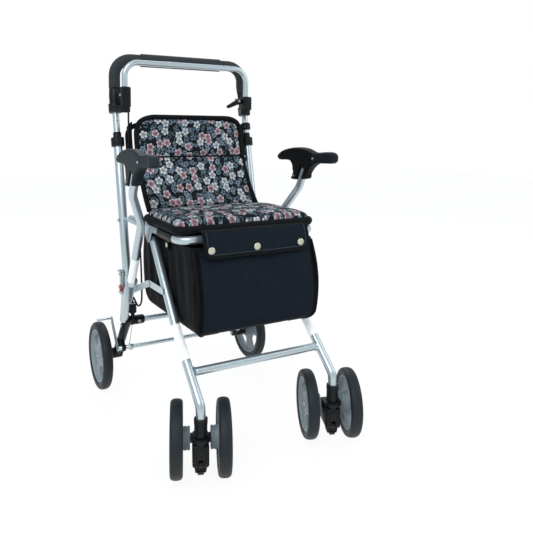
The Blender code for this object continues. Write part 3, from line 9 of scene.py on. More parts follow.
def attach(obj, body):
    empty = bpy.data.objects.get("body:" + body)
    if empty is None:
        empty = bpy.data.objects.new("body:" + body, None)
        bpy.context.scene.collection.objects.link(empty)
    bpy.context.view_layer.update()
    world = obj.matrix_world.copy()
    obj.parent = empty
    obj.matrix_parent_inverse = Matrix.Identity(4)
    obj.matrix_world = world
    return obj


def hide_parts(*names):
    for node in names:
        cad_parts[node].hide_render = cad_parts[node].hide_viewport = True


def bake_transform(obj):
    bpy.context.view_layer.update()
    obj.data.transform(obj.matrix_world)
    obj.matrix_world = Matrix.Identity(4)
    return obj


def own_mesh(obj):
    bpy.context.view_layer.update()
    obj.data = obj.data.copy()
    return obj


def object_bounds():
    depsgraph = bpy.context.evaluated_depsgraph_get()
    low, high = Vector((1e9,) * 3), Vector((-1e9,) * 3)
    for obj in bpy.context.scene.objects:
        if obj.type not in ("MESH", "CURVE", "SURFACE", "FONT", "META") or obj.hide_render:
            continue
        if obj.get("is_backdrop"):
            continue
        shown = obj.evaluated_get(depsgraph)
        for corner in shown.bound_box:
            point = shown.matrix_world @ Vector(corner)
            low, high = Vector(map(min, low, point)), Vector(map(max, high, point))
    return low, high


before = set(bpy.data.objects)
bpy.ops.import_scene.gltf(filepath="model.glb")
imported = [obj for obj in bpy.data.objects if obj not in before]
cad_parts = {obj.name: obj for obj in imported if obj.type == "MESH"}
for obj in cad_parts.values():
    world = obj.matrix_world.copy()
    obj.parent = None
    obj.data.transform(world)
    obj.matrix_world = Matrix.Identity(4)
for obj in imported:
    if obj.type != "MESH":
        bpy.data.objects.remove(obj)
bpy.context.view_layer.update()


# Studio: a plain pale floor, a white surround and soft lamps, as for a catalogue picture.
# The camera stands to the front left at chest height, where the photograph was taken from.
def linear(code):
    """An sRGB hex colour as linear red, green, blue and alpha."""
    parts = [int(code[k:k + 2], 16) / 255 for k in (1, 3, 5)]
    return [part / 12.92 if part <= 0.04045 else ((part + 0.055) / 1.055) ** 2.4 for part in parts] + [1]


def plug(tree, node, sockets):
    """Sets a node's sockets: a value is a number, a colour or another node's output."""
    for name, value in sockets.items():
        if isinstance(value, bpy.types.NodeSocket):
            tree.links.new(value, node.inputs[name])
        else:
            node.inputs[name].default_value = value


def add(tree, kind, sockets, **settings):
    """Adds a node with its settings and sockets, and gives its first output that is on."""
    node = tree.nodes.new(kind)
    for name, value in settings.items():
        setattr(node, name, value)
    plug(tree, node, sockets)
    return next(output for output in node.outputs if output.enabled)


def finish(name, sockets):
    """A new material with its node tree, its Principled shader set to these values and its Object coordinates."""
    made = bpy.data.materials.new(name)
    made.use_nodes = True
    tree = made.node_tree
    shader = tree.nodes["Principled BSDF"]
    plug(tree, shader, sockets)
    return made, tree, shader, tree.nodes.new("ShaderNodeTexCoord").outputs["Object"]


# Every piece is drawn about the middle between the posts, with the floor at GROUND_Z, and SHIFT brings it home.
MID_X, GROUND_Z = -0.006828183501, 0.0100
SHIFT = Vector((MID_X, 0, -GROUND_Z))
EYE = Vector((-0.5731, -1.1903, 0.6811)) + SHIFT
YAW, PITCH, ROLL = math.radians(28.31), math.radians(4.93), math.radians(0.46)
bpy.ops.object.camera_add()
camera = bpy.context.object
camera.matrix_world = (
    Matrix.Translation(EYE) @ Matrix.Rotation(-YAW, 4, "Z")
    @ Matrix.Rotation(math.pi / 2 - PITCH, 4, "X") @ Matrix.Rotation(ROLL, 4, "Z")
)
camera.data.lens = 38.21
camera.data.sensor_width = 36
camera.data.shift_x = 0.0454
camera.data.shift_y = -0.1655
bpy.context.scene.camera = camera

paper, tree, shader = finish("matt_white_studio_floor", {"Base Color": linear("#e9eaea"), "Roughness": 0.9})[:3]
ray = tree.nodes.new("ShaderNodeLightPath").outputs
seen = add(tree, "ShaderNodeMath", {0: ray["Is Camera Ray"], 1: ray["Is Glossy Ray"]}, operation="MAXIMUM")
glow = add(tree, "ShaderNodeEmission", {"Color": (1, 1, 1, 1), "Strength": 1.05})
kept = add(tree, "ShaderNodeMath", {0: seen, 1: 0.88}, operation="MULTIPLY")
mixed = add(tree, "ShaderNodeMixShader", {"Fac": kept, 1: shader.outputs["BSDF"], 2: glow})
plug(tree, tree.nodes["Material Output"], {"Surface": mixed})
bpy.ops.object.select_all(action="DESELECT")
bpy.ops.mesh.primitive_plane_add(size=14, location=(0, 0, -0.0004))
floor = bpy.context.object
floor.name = "studio_floor"
floor.data.materials.append(paper)
floor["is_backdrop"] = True

world = bpy.data.worlds.new("white_surround")
bpy.context.scene.world = world
world.use_nodes = True
plug(world.node_tree, world.node_tree.nodes["Background"], {"Color": linear("#e4eef4"), "Strength": 0.72})
backdrop = add(world.node_tree, "ShaderNodeBackground", {"Color": (1, 1, 1, 1), "Strength": 1.0})
ray = world.node_tree.nodes.new("ShaderNodeLightPath").outputs
mixed = add(world.node_tree, "ShaderNodeMixShader", {
    "Fac": ray["Is Camera Ray"], 1: world.node_tree.nodes["Background"].outputs[0], 2: backdrop,
})
plug(world.node_tree, world.node_tree.nodes["World Output"], {"Surface": mixed})
for name, place, size, power in (
    ("key_softbox", (-1.6, -1.5, 2.4), 1.6, 34), ("fill_softbox", (2.2, -1.2, 1.8), 1.8, 15),
    ("back_softbox", (0.6, 2.3, 2.2), 1.5, 18),
):
    light = bpy.data.lights.new(name, "AREA")
    light.size = size
    light.energy = power
    lamp = bpy.data.objects.new(name, light)
    lamp.location = place
    lamp.rotation_euler = (Vector((0, 0, 0.4)) - Vector(place)).to_track_quat("-Z", "Y").to_euler()
    bpy.context.scene.collection.objects.link(lamp)
bpy.context.scene.view_settings.view_transform = "Standard"


# Rear posts: two bent aluminium tubes, satin anodised, which carry the seat, the hoop and the handle.
# Each is drawn out from a disc along its straight parts and spun round its bend.
def face_outwards():
    """Turns all faces of the piece in edit mode outwards, and leaves edit mode."""
    bpy.ops.mesh.select_all(action="SELECT")
    bpy.ops.mesh.normals_make_consistent(inside=False)
    bpy.ops.object.mode_set(mode="OBJECT")


def bend_tube(route, bends, radius, sides=28, step=math.radians(7)):
    """A round tube along a route of points, bent at each inner point on an arc of its own radius."""
    route = [Vector(point) for point in route]
    place, ahead = route[0], (route[1] - route[0]).normalized()
    bpy.ops.object.select_all(action="DESELECT")
    bpy.ops.mesh.primitive_circle_add(
        vertices=sides, radius=radius, fill_type="NGON", location=place,
        rotation=ahead.to_track_quat("Z", "Y").to_euler(),
    )
    bpy.ops.object.transform_apply(location=True, rotation=True, scale=True)
    bpy.ops.object.mode_set(mode="EDIT")
    bpy.ops.mesh.select_all(action="SELECT")
    for corner, after, bend in zip(route[1:], route[2:], bends):
        onward = (after - corner).normalized()
        angle = ahead.angle(onward)
        inwards = (onward - ahead * ahead.dot(onward)).normalized()
        reach = bend * math.tan(angle / 2)
        turning = corner - ahead * reach
        bpy.ops.mesh.extrude_region_move(TRANSFORM_OT_translate={"value": turning - place})
        bpy.ops.mesh.spin(
            steps=max(2, math.ceil(angle / step)), angle=-angle,
            center=turning + inwards * bend, axis=ahead.cross(onward),
        )
        place, ahead = corner + onward * reach, onward
    bpy.ops.mesh.extrude_region_move(TRANSFORM_OT_translate={"value": route[-1] - place})
    face_outwards()
    return bpy.context.object


def only(piece):
    """Selects this piece alone and makes it the active one."""
    bpy.ops.object.select_all(action="DESELECT")
    piece.select_set(True)
    bpy.context.view_layer.objects.active = piece


def apply_modifiers(piece):
    """Applies a piece's modifiers in their order."""
    only(piece)
    for name in [modifier.name for modifier in piece.modifiers]:
        bpy.ops.object.modifier_apply(modifier=name)


def bevel(piece, width, segments=2, angle=math.radians(40)):
    """Rounds a piece's sharp edges."""
    rounding = piece.modifiers.new("edges", "BEVEL")
    rounding.width = width
    rounding.segments = segments
    rounding.limit_method = "ANGLE"
    rounding.angle_limit = angle
    apply_modifiers(piece)
    return piece


def settle(piece, name, surface, body, slot, *nodes, smooth=math.radians(38)):
    """Moves a finished piece from the drawing's place to its own, and hands it to its body. Its slot is not used.
    """
    piece.name = name
    piece.data.name = name
    piece.location += SHIFT
    only(piece)
    bpy.ops.object.transform_apply(location=True, rotation=True, scale=True)
    piece.data.materials.clear()
    piece.data.materials.append(surface)
    bpy.ops.object.shade_smooth_by_angle(angle=smooth)
    if body:
        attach(piece, body)
    if nodes:
        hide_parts(*nodes)
    return piece


# Anodised aluminium: a cool grey metal whose satin etch spreads the highlights softly.
# The drawing marks are finer than the render can show, so they are drawn 1.5 mm apart.
aluminium, tree, shader, place = finish("satin_anodised_aluminium", {
    "Base Color": linear("#c6d2d8"), "Metallic": 0.85, "Roughness": 0.34,
})
marks = add(tree, "ShaderNodeTexNoise", {"Vector": place, "Scale": 650.0, "Detail": 2.0})
rough = add(tree, "ShaderNodeMapRange", {"Value": marks, "To Min": 0.28, "To Max": 0.42})
bump = add(tree, "ShaderNodeBump", {"Height": marks, "Strength": 0.06, "Distance": 0.0002})
plug(tree, shader, {"Roughness": rough, "Normal": bump})

SIDES = {"left": -1, "right": 1}
POST_X, POST_R = 0.1815, 0.0105
POST_CORNER, POST_LEAN, POST_KICK = (0.1186, 0.3333), math.radians(12.1), math.radians(12.4)
POST_TOP_Z, POST_FOOT_Z = 0.6585, 0.2070


def post_y(z):
    """The post's centre line in the side view, above its bend."""
    return POST_CORNER[0] + math.tan(POST_LEAN) * (z - POST_CORNER[1])


def post_low_y(z):
    """The post's centre line in the side view, below its bend."""
    return POST_CORNER[0] + math.tan(POST_KICK) * (POST_CORNER[1] - z)


for name, side in SIDES.items():
    x = side * POST_X
    route = [(x, post_low_y(POST_FOOT_Z), POST_FOOT_Z), (x, *POST_CORNER), (x, post_y(POST_TOP_Z), POST_TOP_Z)]
    post = bevel(bend_tube(route, [0.080], POST_R, 36), 0.0025, 3)
    settle(post, f"rear_post_{name}", aluminium, "rear_frame", "silver", f"main_post_{name}")


# Height collars: moulded ABS caps that clamp the inner tubes, with a narrower neck above.
# Each is turned from a disc, ring by ring, and stood on the post's top.
def turn(profile, stand, sides=40):
    """A turned piece: profile gives (radius, height) pairs, and stand is the matrix of its place."""
    radius, height = profile[0]
    bpy.ops.object.select_all(action="DESELECT")
    bpy.ops.mesh.primitive_circle_add(
        vertices=sides, radius=radius, fill_type="NGON", location=(0, 0, height))
    piece = bpy.context.object
    bpy.ops.object.transform_apply(location=True, rotation=True, scale=True)
    bpy.ops.object.mode_set(mode="EDIT")
    bpy.ops.mesh.select_all(action="SELECT")
    for (r, z), (next_r, next_z) in zip(profile, profile[1:]):
        bpy.ops.mesh.extrude_region_move(TRANSFORM_OT_translate={"value": (0, 0, next_z - z)})
        grow = next_r / r
        bpy.ops.transform.resize(value=(grow, grow, 1), center_override=(0, 0, next_z))
    face_outwards()
    piece.matrix_world = stand
    return piece


def along(axis, place):
    """The matrix that stands a turned piece on an axis at a place."""
    return Matrix.Translation(place) @ Vector(axis).to_track_quat("Z", "Y").to_matrix().to_4x4()


# Moulded ABS: black, and dulled by a fine spark-eroded grain of about 0.6 mm, drawn at 1 mm.
black_abs, tree, shader, place = finish("black_moulded_abs", {
    "Base Color": linear("#0e1215"), "Roughness": 0.42, "Specular IOR Level": 0.25,
})
grain = add(tree, "ShaderNodeTexNoise", {"Vector": place, "Scale": 1000.0, "Detail": 3.0})
bump = add(tree, "ShaderNodeBump", {"Height": grain, "Strength": 0.12, "Distance": 0.0002})
rough = add(tree, "ShaderNodeMapRange", {"Value": grain, "To Min": 0.34, "To Max": 0.52})
plug(tree, shader, {"Roughness": rough, "Normal": bump})

POST_AXIS = (0, math.sin(POST_LEAN), math.cos(POST_LEAN))
for name, side in SIDES.items():
    stand = along(POST_AXIS, (side * POST_X, post_y(POST_TOP_Z), POST_TOP_Z))
    collar = turn([
        (0.0107, -0.0220), (0.0150, -0.0220), (0.0160, -0.0212), (0.0160, -0.0180), (0.0153, -0.0176),
        (0.0153, -0.0168), (0.0160, -0.0164), (0.0160, -0.0012), (0.0152, -0.0002), (0.0104, 0.0010),
        (0.0100, 0.0022), (0.0100, 0.0122), (0.0094, 0.0130), (0.0083, 0.0130),
    ], stand)
    settle(collar, f"tube_collar_{name}", black_abs, "rear_frame", "black_plastic", f"height_collar_{name}")


# Bolts: zinc-plated button heads on a washer, in every pivot of the frame.
# One is turned as a pattern, with its socket sunk in, and every other is a copy of its mesh.
# Zinc plating: a bright, cool metal, with a slightly cloudy gloss from the bath.
steel, tree, shader, place = finish("zinc_plated_steel", {
    "Base Color": linear("#b4b9bb"), "Metallic": 1.0, "Roughness": 0.30,
})
spots = add(tree, "ShaderNodeTexNoise", {"Vector": place, "Scale": 420.0, "Detail": 2.0})
rough = add(tree, "ShaderNodeMapRange", {"Value": spots, "To Min": 0.22, "To Max": 0.40})
plug(tree, shader, {"Roughness": rough})
bolt_pattern = turn([
    (1.00, 0.00), (1.00, 0.16), (0.94, 0.22), (0.74, 0.22), (0.72, 0.34), (0.62, 0.58), (0.46, 0.72),
    (0.30, 0.74), (0.27, 0.40), (0.02, 0.36),
], Matrix.Identity(4), 24)


def copy_of(pattern, matrix):
    """A copy of a pattern with a mesh of its own, moved by a matrix."""
    piece = bpy.data.objects.new(pattern.name, pattern.data.copy())
    bpy.context.scene.collection.objects.link(piece)
    piece.data.transform(matrix)
    if matrix.determinant() < 0:
        piece.data.flip_normals()
    return piece


def joined(pieces):
    """Joins several solids into one piece."""
    bpy.ops.object.select_all(action="DESELECT")
    for piece in pieces:
        piece.select_set(True)
    bpy.context.view_layer.objects.active = pieces[0]
    bpy.ops.object.join()
    return pieces[0]


def bolt(axis, place, radius):
    """A bolt's head of this radius that stands on an axis at a place."""
    return copy_of(bolt_pattern, along(axis, place) @ Matrix.Scale(radius, 4))


SEAT_Z, LOCK_Z, TONGUE_Z = 0.460, 0.288, 0.262
LOCK_LOW, TONGUE_FOOT = (post_low_y(LOCK_Z), LOCK_Z), (post_low_y(TONGUE_Z), TONGUE_Z)
STAY_POST = (LOCK_LOW[0] - 0.003, LOCK_Z)
for name, side in SIDES.items():
    outside = side * (POST_X + POST_R - 0.0004)
    heads = [bolt((side, 0, 0), (outside, post_y(SEAT_Z), SEAT_Z), 0.0052)]
    if side > 0:
        heads += [bolt((side, 0, 0), (outside, *place), radius)
                  for place, radius in ((STAY_POST, 0.0050), (TONGUE_FOOT, 0.0045))]
    settle(joined(heads), f"post_bolts_{name}", steel, "rear_frame", "steel")


# Rear legs: black die-cast legs that clasp the posts' feet and carry the rear axles.
# Each is a tube with a hub boss and an ear for the brake's cross bar, and its edges are rounded.
TURN_TO = {"x": (0, math.pi / 2, 0), "y": (math.pi / 2, 0, 0), "z": (0, 0, 0)}


def lug(circles, thickness, way, sides=32):
    """A flat link whose outline runs round a few discs, which are given as (x, y, z, radius)."""
    bpy.ops.object.select_all(action="DESELECT")
    for k, (x, y, z, radius) in enumerate(circles):
        bpy.ops.mesh.primitive_cylinder_add(
            vertices=sides, radius=radius, depth=thickness, location=(x, y, z), rotation=TURN_TO[way])
        if k == 0:
            piece = bpy.context.object
            bpy.ops.object.transform_apply(location=True, rotation=True, scale=True)
            bpy.ops.object.mode_set(mode="EDIT")
    bpy.ops.mesh.select_all(action="SELECT")
    bpy.ops.mesh.convex_hull()
    bpy.ops.mesh.dissolve_limited(angle_limit=math.radians(1))
    bpy.ops.object.mode_set(mode="OBJECT")
    return piece


REAR_LEG_X, REAR_LEG_R = POST_X - 0.0070, 0.0118
REAR_WHEEL_R, FRONT_WHEEL_R, FACET = 0.0860, 0.0735, math.cos(math.pi / 24)
REAR_AXLE = (0.2347, GROUND_Z + REAR_WHEEL_R * FACET)
REAR_WHEEL_X = POST_X + 0.0375
TORSION = (0.1790, 0.1265)
for name, side in SIDES.items():
    x = side * REAR_LEG_X
    foot = Vector((x, post_low_y(POST_FOOT_Z), POST_FOOT_Z))
    hub = Vector((x, *REAR_AXLE))
    down = (hub - foot).normalized()
    leg = turn([
        (0.0070, -0.0105), (0.0098, -0.0100), (0.0114, -0.0080), (REAR_LEG_R, -0.0050), (REAR_LEG_R, 0.0150),
        (0.0110, 0.0170), (0.0108, 0.0900), (REAR_LEG_R, 0.1080), (REAR_LEG_R, (hub - foot).length),
        (0.0100, (hub - foot).length + 0.0050),
    ], along(down, foot))
    inner, outer = REAR_LEG_X - REAR_LEG_R, REAR_WHEEL_X - 0.0160 - 0.0006
    boss = turn([
        (0.0105, 0), (0.0128, 0.0014), (0.0135, 0.0040), (0.0135, outer - inner - 0.0020),
        (0.0120, outer - inner),
    ], along((side, 0, 0), (side * inner, *REAR_AXLE)))
    middle = foot.lerp(hub, 0.62)
    ear = bevel(lug([(x, *TORSION, 0.0090), (x, middle.y, middle.z, 0.0100)], 0.0095, "x"), 0.0012)
    settle(joined([leg, boss, ear]), f"cast_rear_leg_{name}", black_abs, "rear_frame", "black_plastic",
           f"rear_leg_{name}")
    nut = bolt((-side, 0, 0), (side * (inner + 0.0002), *REAR_AXLE), 0.0068)
    clasp = bolt((side, 0, 0), (side * (REAR_LEG_X + REAR_LEG_R - 0.0008), *(foot + down * 0.016).yz), 0.0042)
    settle(joined([nut, clasp]), f"rear_axle_nut_{name}", steel, "rear_frame", "steel")
    axle = turn([(0.0048, 0), (0.0050, 0.0004), (0.0050, 0.0330), (0.0046, 0.0335)],
                along((side, 0, 0), (side * (REAR_WHEEL_X - 0.0370), *REAR_AXLE)), 24)
    settle(axle, f"axle_stub_{name}", steel, "rear_frame", "steel", f"rear_axle_{name}")


# Cross tube: a straight aluminium tube between the rear legs, held in a ribbed ABS clamp at each end.
# The tube and the clamps are turned on the tube's own line.
CROSS = (post_low_y(POST_FOOT_Z) + 0.0096, POST_FOOT_Z - 0.0040)
CLAMP_OUT = REAR_LEG_X - REAR_LEG_R - 0.0003
end = CLAMP_OUT - 0.0040
tube = turn([(0.0068, -end), (0.0075, -end + 0.0010), (0.0075, end - 0.0010), (0.0068, end)],
            along((1, 0, 0), (0, *CROSS)), 32)
settle(tube, "cross_tube", aluminium, "rear_frame", "silver", "rear_cross_tube")
for name, side in SIDES.items():
    clamp = turn([
        (0.0108, 0), (0.0115, 0.0010), (0.0115, 0.0090), (0.0106, 0.0096), (0.0106, 0.0112), (0.0115, 0.0118),
        (0.0115, 0.0290), (0.0108, 0.0300), (0.0108, 0.0332), (0.0100, 0.0340), (0.0078, 0.0340),
    ], along((-side, 0, 0), (side * CLAMP_OUT, *CROSS)))
    settle(clamp, f"tube_clamp_{name}", black_abs, "rear_frame", "black_plastic", f"cross_clamp_{name}")
    place = (side * (CLAMP_OUT - 0.0200), CROSS[0] - 0.0112, CROSS[1] - 0.0010)
    settle(bolt((0, -1, 0), place, 0.0038), f"clamp_screw_{name}", steel, "rear_frame", "steel")


# Brake: an aluminium cross bar in the legs' ears, with a flat arm up to a shoe over each rear tyre.
# The bar is turned, and the arms are hulled round their ends, all anodised like the frame.
ARM_X = REAR_LEG_X + REAR_LEG_R + 0.0005 + 0.0025
PAD = (REAR_AXLE[0], REAR_AXLE[1] + REAR_WHEEL_R + 0.0085)
bar = [turn([(0.0048, -ARM_X), (0.0055, -ARM_X + 0.0010), (0.0055, ARM_X - 0.0010), (0.0048, ARM_X)],
            along((1, 0, 0), (0, *TORSION)), 28)]
for side in SIDES.values():
    arm = bevel(lug([(side * ARM_X, *TORSION, 0.0062), (side * ARM_X, *PAD, 0.0042)], 0.0046, "x"), 0.0006, 1)
    width = REAR_WHEEL_X + 0.0085 - ARM_X
    bpy.ops.object.select_all(action="DESELECT")
    bpy.ops.mesh.primitive_cube_add(
        size=1, location=(side * (ARM_X + width / 2), *PAD), scale=(width, 0.0090, 0.0046))
    shoe = bpy.context.object
    bpy.ops.object.transform_apply(location=True, rotation=True, scale=True)
    bevel(shoe, 0.0012, 2)
    collar = turn([(0.0078, 0), (0.0085, 0.0008), (0.0085, 0.0072), (0.0078, 0.0080)],
                  along((-side, 0, 0), (side * (REAR_LEG_X - 0.0170), *TORSION)), 28)
    bar += [arm, shoe, collar]
settle(joined(bar), "brake_cross_bar", aluminium, "brake_torsion_bar", "silver", "brake_torsion_bar")


# Wheels: grey nylon rims, pierced by four windows, with solid polyurethane tyres pressed on.
# A rim and a tyre are turned for each size, the windows are cut through, and all others are copies.
# Moulded nylon: mid grey and slightly cloudy, with a low gloss and a fine grain from the mould.
nylon, tree, shader, place = finish("grey_moulded_nylon", {"Roughness": 0.45})
grain = add(tree, "ShaderNodeTexNoise", {"Vector": place, "Scale": 800.0, "Detail": 2.0})
bump = add(tree, "ShaderNodeBump", {"Height": grain, "Strength": 0.10, "Distance": 0.0002})
cloud = add(tree, "ShaderNodeTexNoise", {"Vector": place, "Scale": 40.0, "Detail": 2.0})
colour = add(tree, "ShaderNodeMix", {0: cloud, 6: linear("#86949a"), 7: linear("#939fa5")}, data_type="RGBA")
plug(tree, shader, {"Base Color": colour, "Normal": bump})

# Polyurethane: near black with a soft sheen from the mould, and a fine dust of use on the tread.
tyre_skin, tree, shader, place = finish("black_moulded_polyurethane", {
    "Base Color": linear("#1c2328"), "Roughness": 0.5, "Specular IOR Level": 0.35,
})
grain = add(tree, "ShaderNodeTexNoise", {"Vector": place, "Scale": 700.0, "Detail": 3.0})
dust = add(tree, "ShaderNodeTexNoise", {"Vector": place, "Scale": 60.0, "Detail": 3.0})
rough = add(tree, "ShaderNodeMapRange", {"Value": dust, "To Min": 0.42, "To Max": 0.66})
bump = add(tree, "ShaderNodeBump", {"Height": grain, "Strength": 0.15, "Distance": 0.0002})
plug(tree, shader, {"Roughness": rough, "Normal": bump})

RIM_HALF, TYRE_HALF = 0.0095, 0.0125


def carve(piece, cutter):
    """Cuts the cutter out of the piece and deletes it."""
    cutting = piece.modifiers.new("cut", "BOOLEAN")
    cutting.operation = "DIFFERENCE"
    cutting.object = cutter
    cutting.solver = "EXACT"
    apply_modifiers(piece)
    bpy.data.objects.remove(cutter, do_unlink=True)
    return piece


def make_rim(rim_r, boss_r, boss_length):
    """A rim with its axis on Z: a dished face each side, a lip, and a hub boss on the inner side."""
    lip = rim_r - 0.0050
    back = TYRE_HALF + boss_length
    profile = [
        (0.0010, 0.0062), (0.0060, 0.0062), (0.0072, 0.0050), (0.0098, 0.0050), (0.0110, 0.0068),
        (0.0165, 0.0064), (0.0185, 0.0044), (lip - 0.0040, 0.0034), (lip - 0.0012, 0.0050), (lip, 0.0084),
        (lip + 0.0014, RIM_HALF), (rim_r - 0.0002, RIM_HALF), (rim_r, RIM_HALF - 0.0004),
        (rim_r, 0.0), (rim_r, -RIM_HALF), (lip + 0.0014, -RIM_HALF), (lip, -0.0084),
        (lip - 0.0012, -0.0048), (lip - 0.0040, -0.0034), (boss_r + 0.0030, -0.0040), (boss_r, -0.0060),
    ]
    ribs = max(1, round(boss_length / 0.0045))
    for k in range(ribs):
        high = 0.0060 + (back - 0.0060) * k / ribs
        low = 0.0060 + (back - 0.0060) * (k + 1) / ribs
        profile += [(boss_r, -low + 0.0014), (boss_r - 0.0016, -low + 0.0010), (boss_r - 0.0016, -low)]
    profile += [(boss_r - 0.0030, -back), (0.0054, -back), (0.0054, -0.0100), (0.0010, -0.0100)]
    rim = turn(profile, Matrix.Identity(4), 96)
    inner, outer, corner = 0.44 * rim_r, rim_r - 0.0115, 0.004
    windows = []
    for k in range(4):
        middle = math.pi * k / 2 + WINDOW_TURN
        places = [(outer - corner, middle + share * (WINDOW_HALF - 0.06)) for share in (-1, -0.5, 0, 0.5, 1)]
        places += [(inner + corner, middle + way * (WINDOW_HALF - 0.14)) for way in (-1, 1)]
        discs = [(r * math.cos(angle), r * math.sin(angle), 0, corner) for r, angle in places]
        windows.append(lug(discs, 0.04, "z", 20))
        beside = middle + math.pi / 4
        for r in (0.42, 0.62):
            discs = [(r * rim_r * math.cos(beside), r * rim_r * math.sin(beside), 0.0120, 0.0017)]
            windows.append(lug(discs, 0.0200, "z", 16))
    for window in windows:
        carve(rim, window)
    return bevel(rim, 0.0005, 1)


def make_tyre(tyre_r, rim_r):
    """A solid tyre with its axis on Z: full side walls, round shoulders and a flat tread."""
    waist = rim_r + 0.0050
    bead = [(rim_r + 0.0002, RIM_HALF - 0.0010), (rim_r + 0.0004, RIM_HALF + 0.0008),
            (rim_r + 0.0014, RIM_HALF + 0.0014)]
    profile = list(bead)
    for k in range(19):
        angle = math.pi * (0.5 - k / 18)
        bulge, spread = abs(math.cos(angle)) ** 0.55, abs(math.sin(angle)) ** 0.85
        profile.append((waist + (tyre_r - waist) * bulge, TYRE_HALF * math.copysign(spread, angle)))
    profile += [(r, -z) for r, z in bead[::-1]]
    tyre = turn(profile, Matrix.Identity(4), 96)
    only(tyre)
    bpy.ops.object.mode_set(mode="EDIT")
    bpy.ops.mesh.select_mode(type="FACE")
    bpy.ops.mesh.select_all(action="DESELECT")
    bpy.ops.mesh.select_face_by_sides(number=4, type="GREATER")
    bpy.ops.mesh.delete(type="FACE")
    bpy.ops.mesh.select_mode(type="EDGE")
    bpy.ops.mesh.select_non_manifold()
    bpy.ops.mesh.bridge_edge_loops()
    face_outwards()
    return tyre


def wheel_stand(axis, centre):
    """The matrix that stands a wheel at its place: its own X is up, and its Z points outwards."""
    axis, up = Vector(axis), Vector((0, 0, 1))
    columns = Matrix((up, axis.cross(up), axis)).transposed().to_4x4()
    return Matrix.Translation(centre) @ columns


WINDOW_TURN, WINDOW_HALF = math.radians(33), math.radians(25)
CASTER_TURN, CASTER_TRAIL, WHEEL_REACH = math.radians(-22.5), 0.0328, 0.0460
LEG_X, LEG_R, STEM_Y = 0.1540, 0.0093, -0.2552
FRONT_AXLE_Z = GROUND_Z + FRONT_WHEEL_R * FACET
REAR_RIM_R, FRONT_RIM_R = 0.0668, 0.0572
wheels = []
for name, side in SIDES.items():
    centre = (side * REAR_WHEEL_X, *REAR_AXLE)
    wheels.append((f"rear_{{}}_{name}", f"rear_wheel_{name}", "rear", (side, 0, 0), centre))
    stem = Matrix.Translation((side * LEG_X, STEM_Y, 0)) @ Matrix.Rotation(CASTER_TURN, 4, "Z")
    for end, way in (("a", -1), ("b", 1)):
        centre = stem @ Vector((way * WHEEL_REACH, CASTER_TRAIL, FRONT_AXLE_Z))
        out = stem.to_3x3() @ Vector((way, 0, 0))
        wheels.append((f"front_{{}}_{name}_{end}", f"front_wheel_{name}_{end}", "front", out, centre))
patterns = {
    "rear": (make_rim(REAR_RIM_R, 0.0175, 0.0035), make_tyre(REAR_WHEEL_R * FACET, REAR_RIM_R)),
    "front": (make_rim(FRONT_RIM_R, 0.0225, 0.0135), make_tyre(FRONT_WHEEL_R * FACET, FRONT_RIM_R)),
}
for name, body, size, out, centre in wheels:
    stand = wheel_stand(out, centre)
    rim, tyre = [copy_of(pattern, stand) for pattern in patterns[size]]
    node = name.format("rim")
    settle(rim, "moulded_" + node, nylon, body, "rim_grey", node, smooth=math.radians(30))
    settle(tyre, "solid_" + name.format("tyre"), tyre_skin, body, "tyre_rubber", name.format("tyre"))
    hub = bolt(out, Vector(centre) + Vector(out) * 0.0062, 0.0052)
    settle(hub, name.format("hub_bolt"), steel, body, "steel")
for pattern in patterns["rear"] + patterns["front"]:
    bpy.data.objects.remove(pattern, do_unlink=True)


# Casters: an ABS socket on each leg's foot, a fork block that swivels in it, and a swivel lock.
# The block is a bevelled cube with a raised panel, and its lock hangs in a slot at the front.
def pick(piece, test):
    """Goes into edit mode with the faces selected whose centre and normal pass the test."""
    only(piece)
    bpy.ops.object.mode_set(mode="EDIT")
    bpy.ops.mesh.select_mode(type="FACE")
    bpy.ops.mesh.select_all(action="DESELECT")
    bpy.ops.object.mode_set(mode="OBJECT")
    for face in piece.data.polygons:
        face.select = test(face.center, face.normal)
    bpy.ops.object.mode_set(mode="EDIT")


def block(low, high):
    """A plain block between two corners."""
    low, high = Vector(low), Vector(high)
    bpy.ops.object.select_all(action="DESELECT")
    bpy.ops.mesh.primitive_cube_add(size=1, location=(low + high) / 2, scale=high - low)
    bpy.ops.object.transform_apply(location=True, rotation=True, scale=True)
    return bpy.context.object


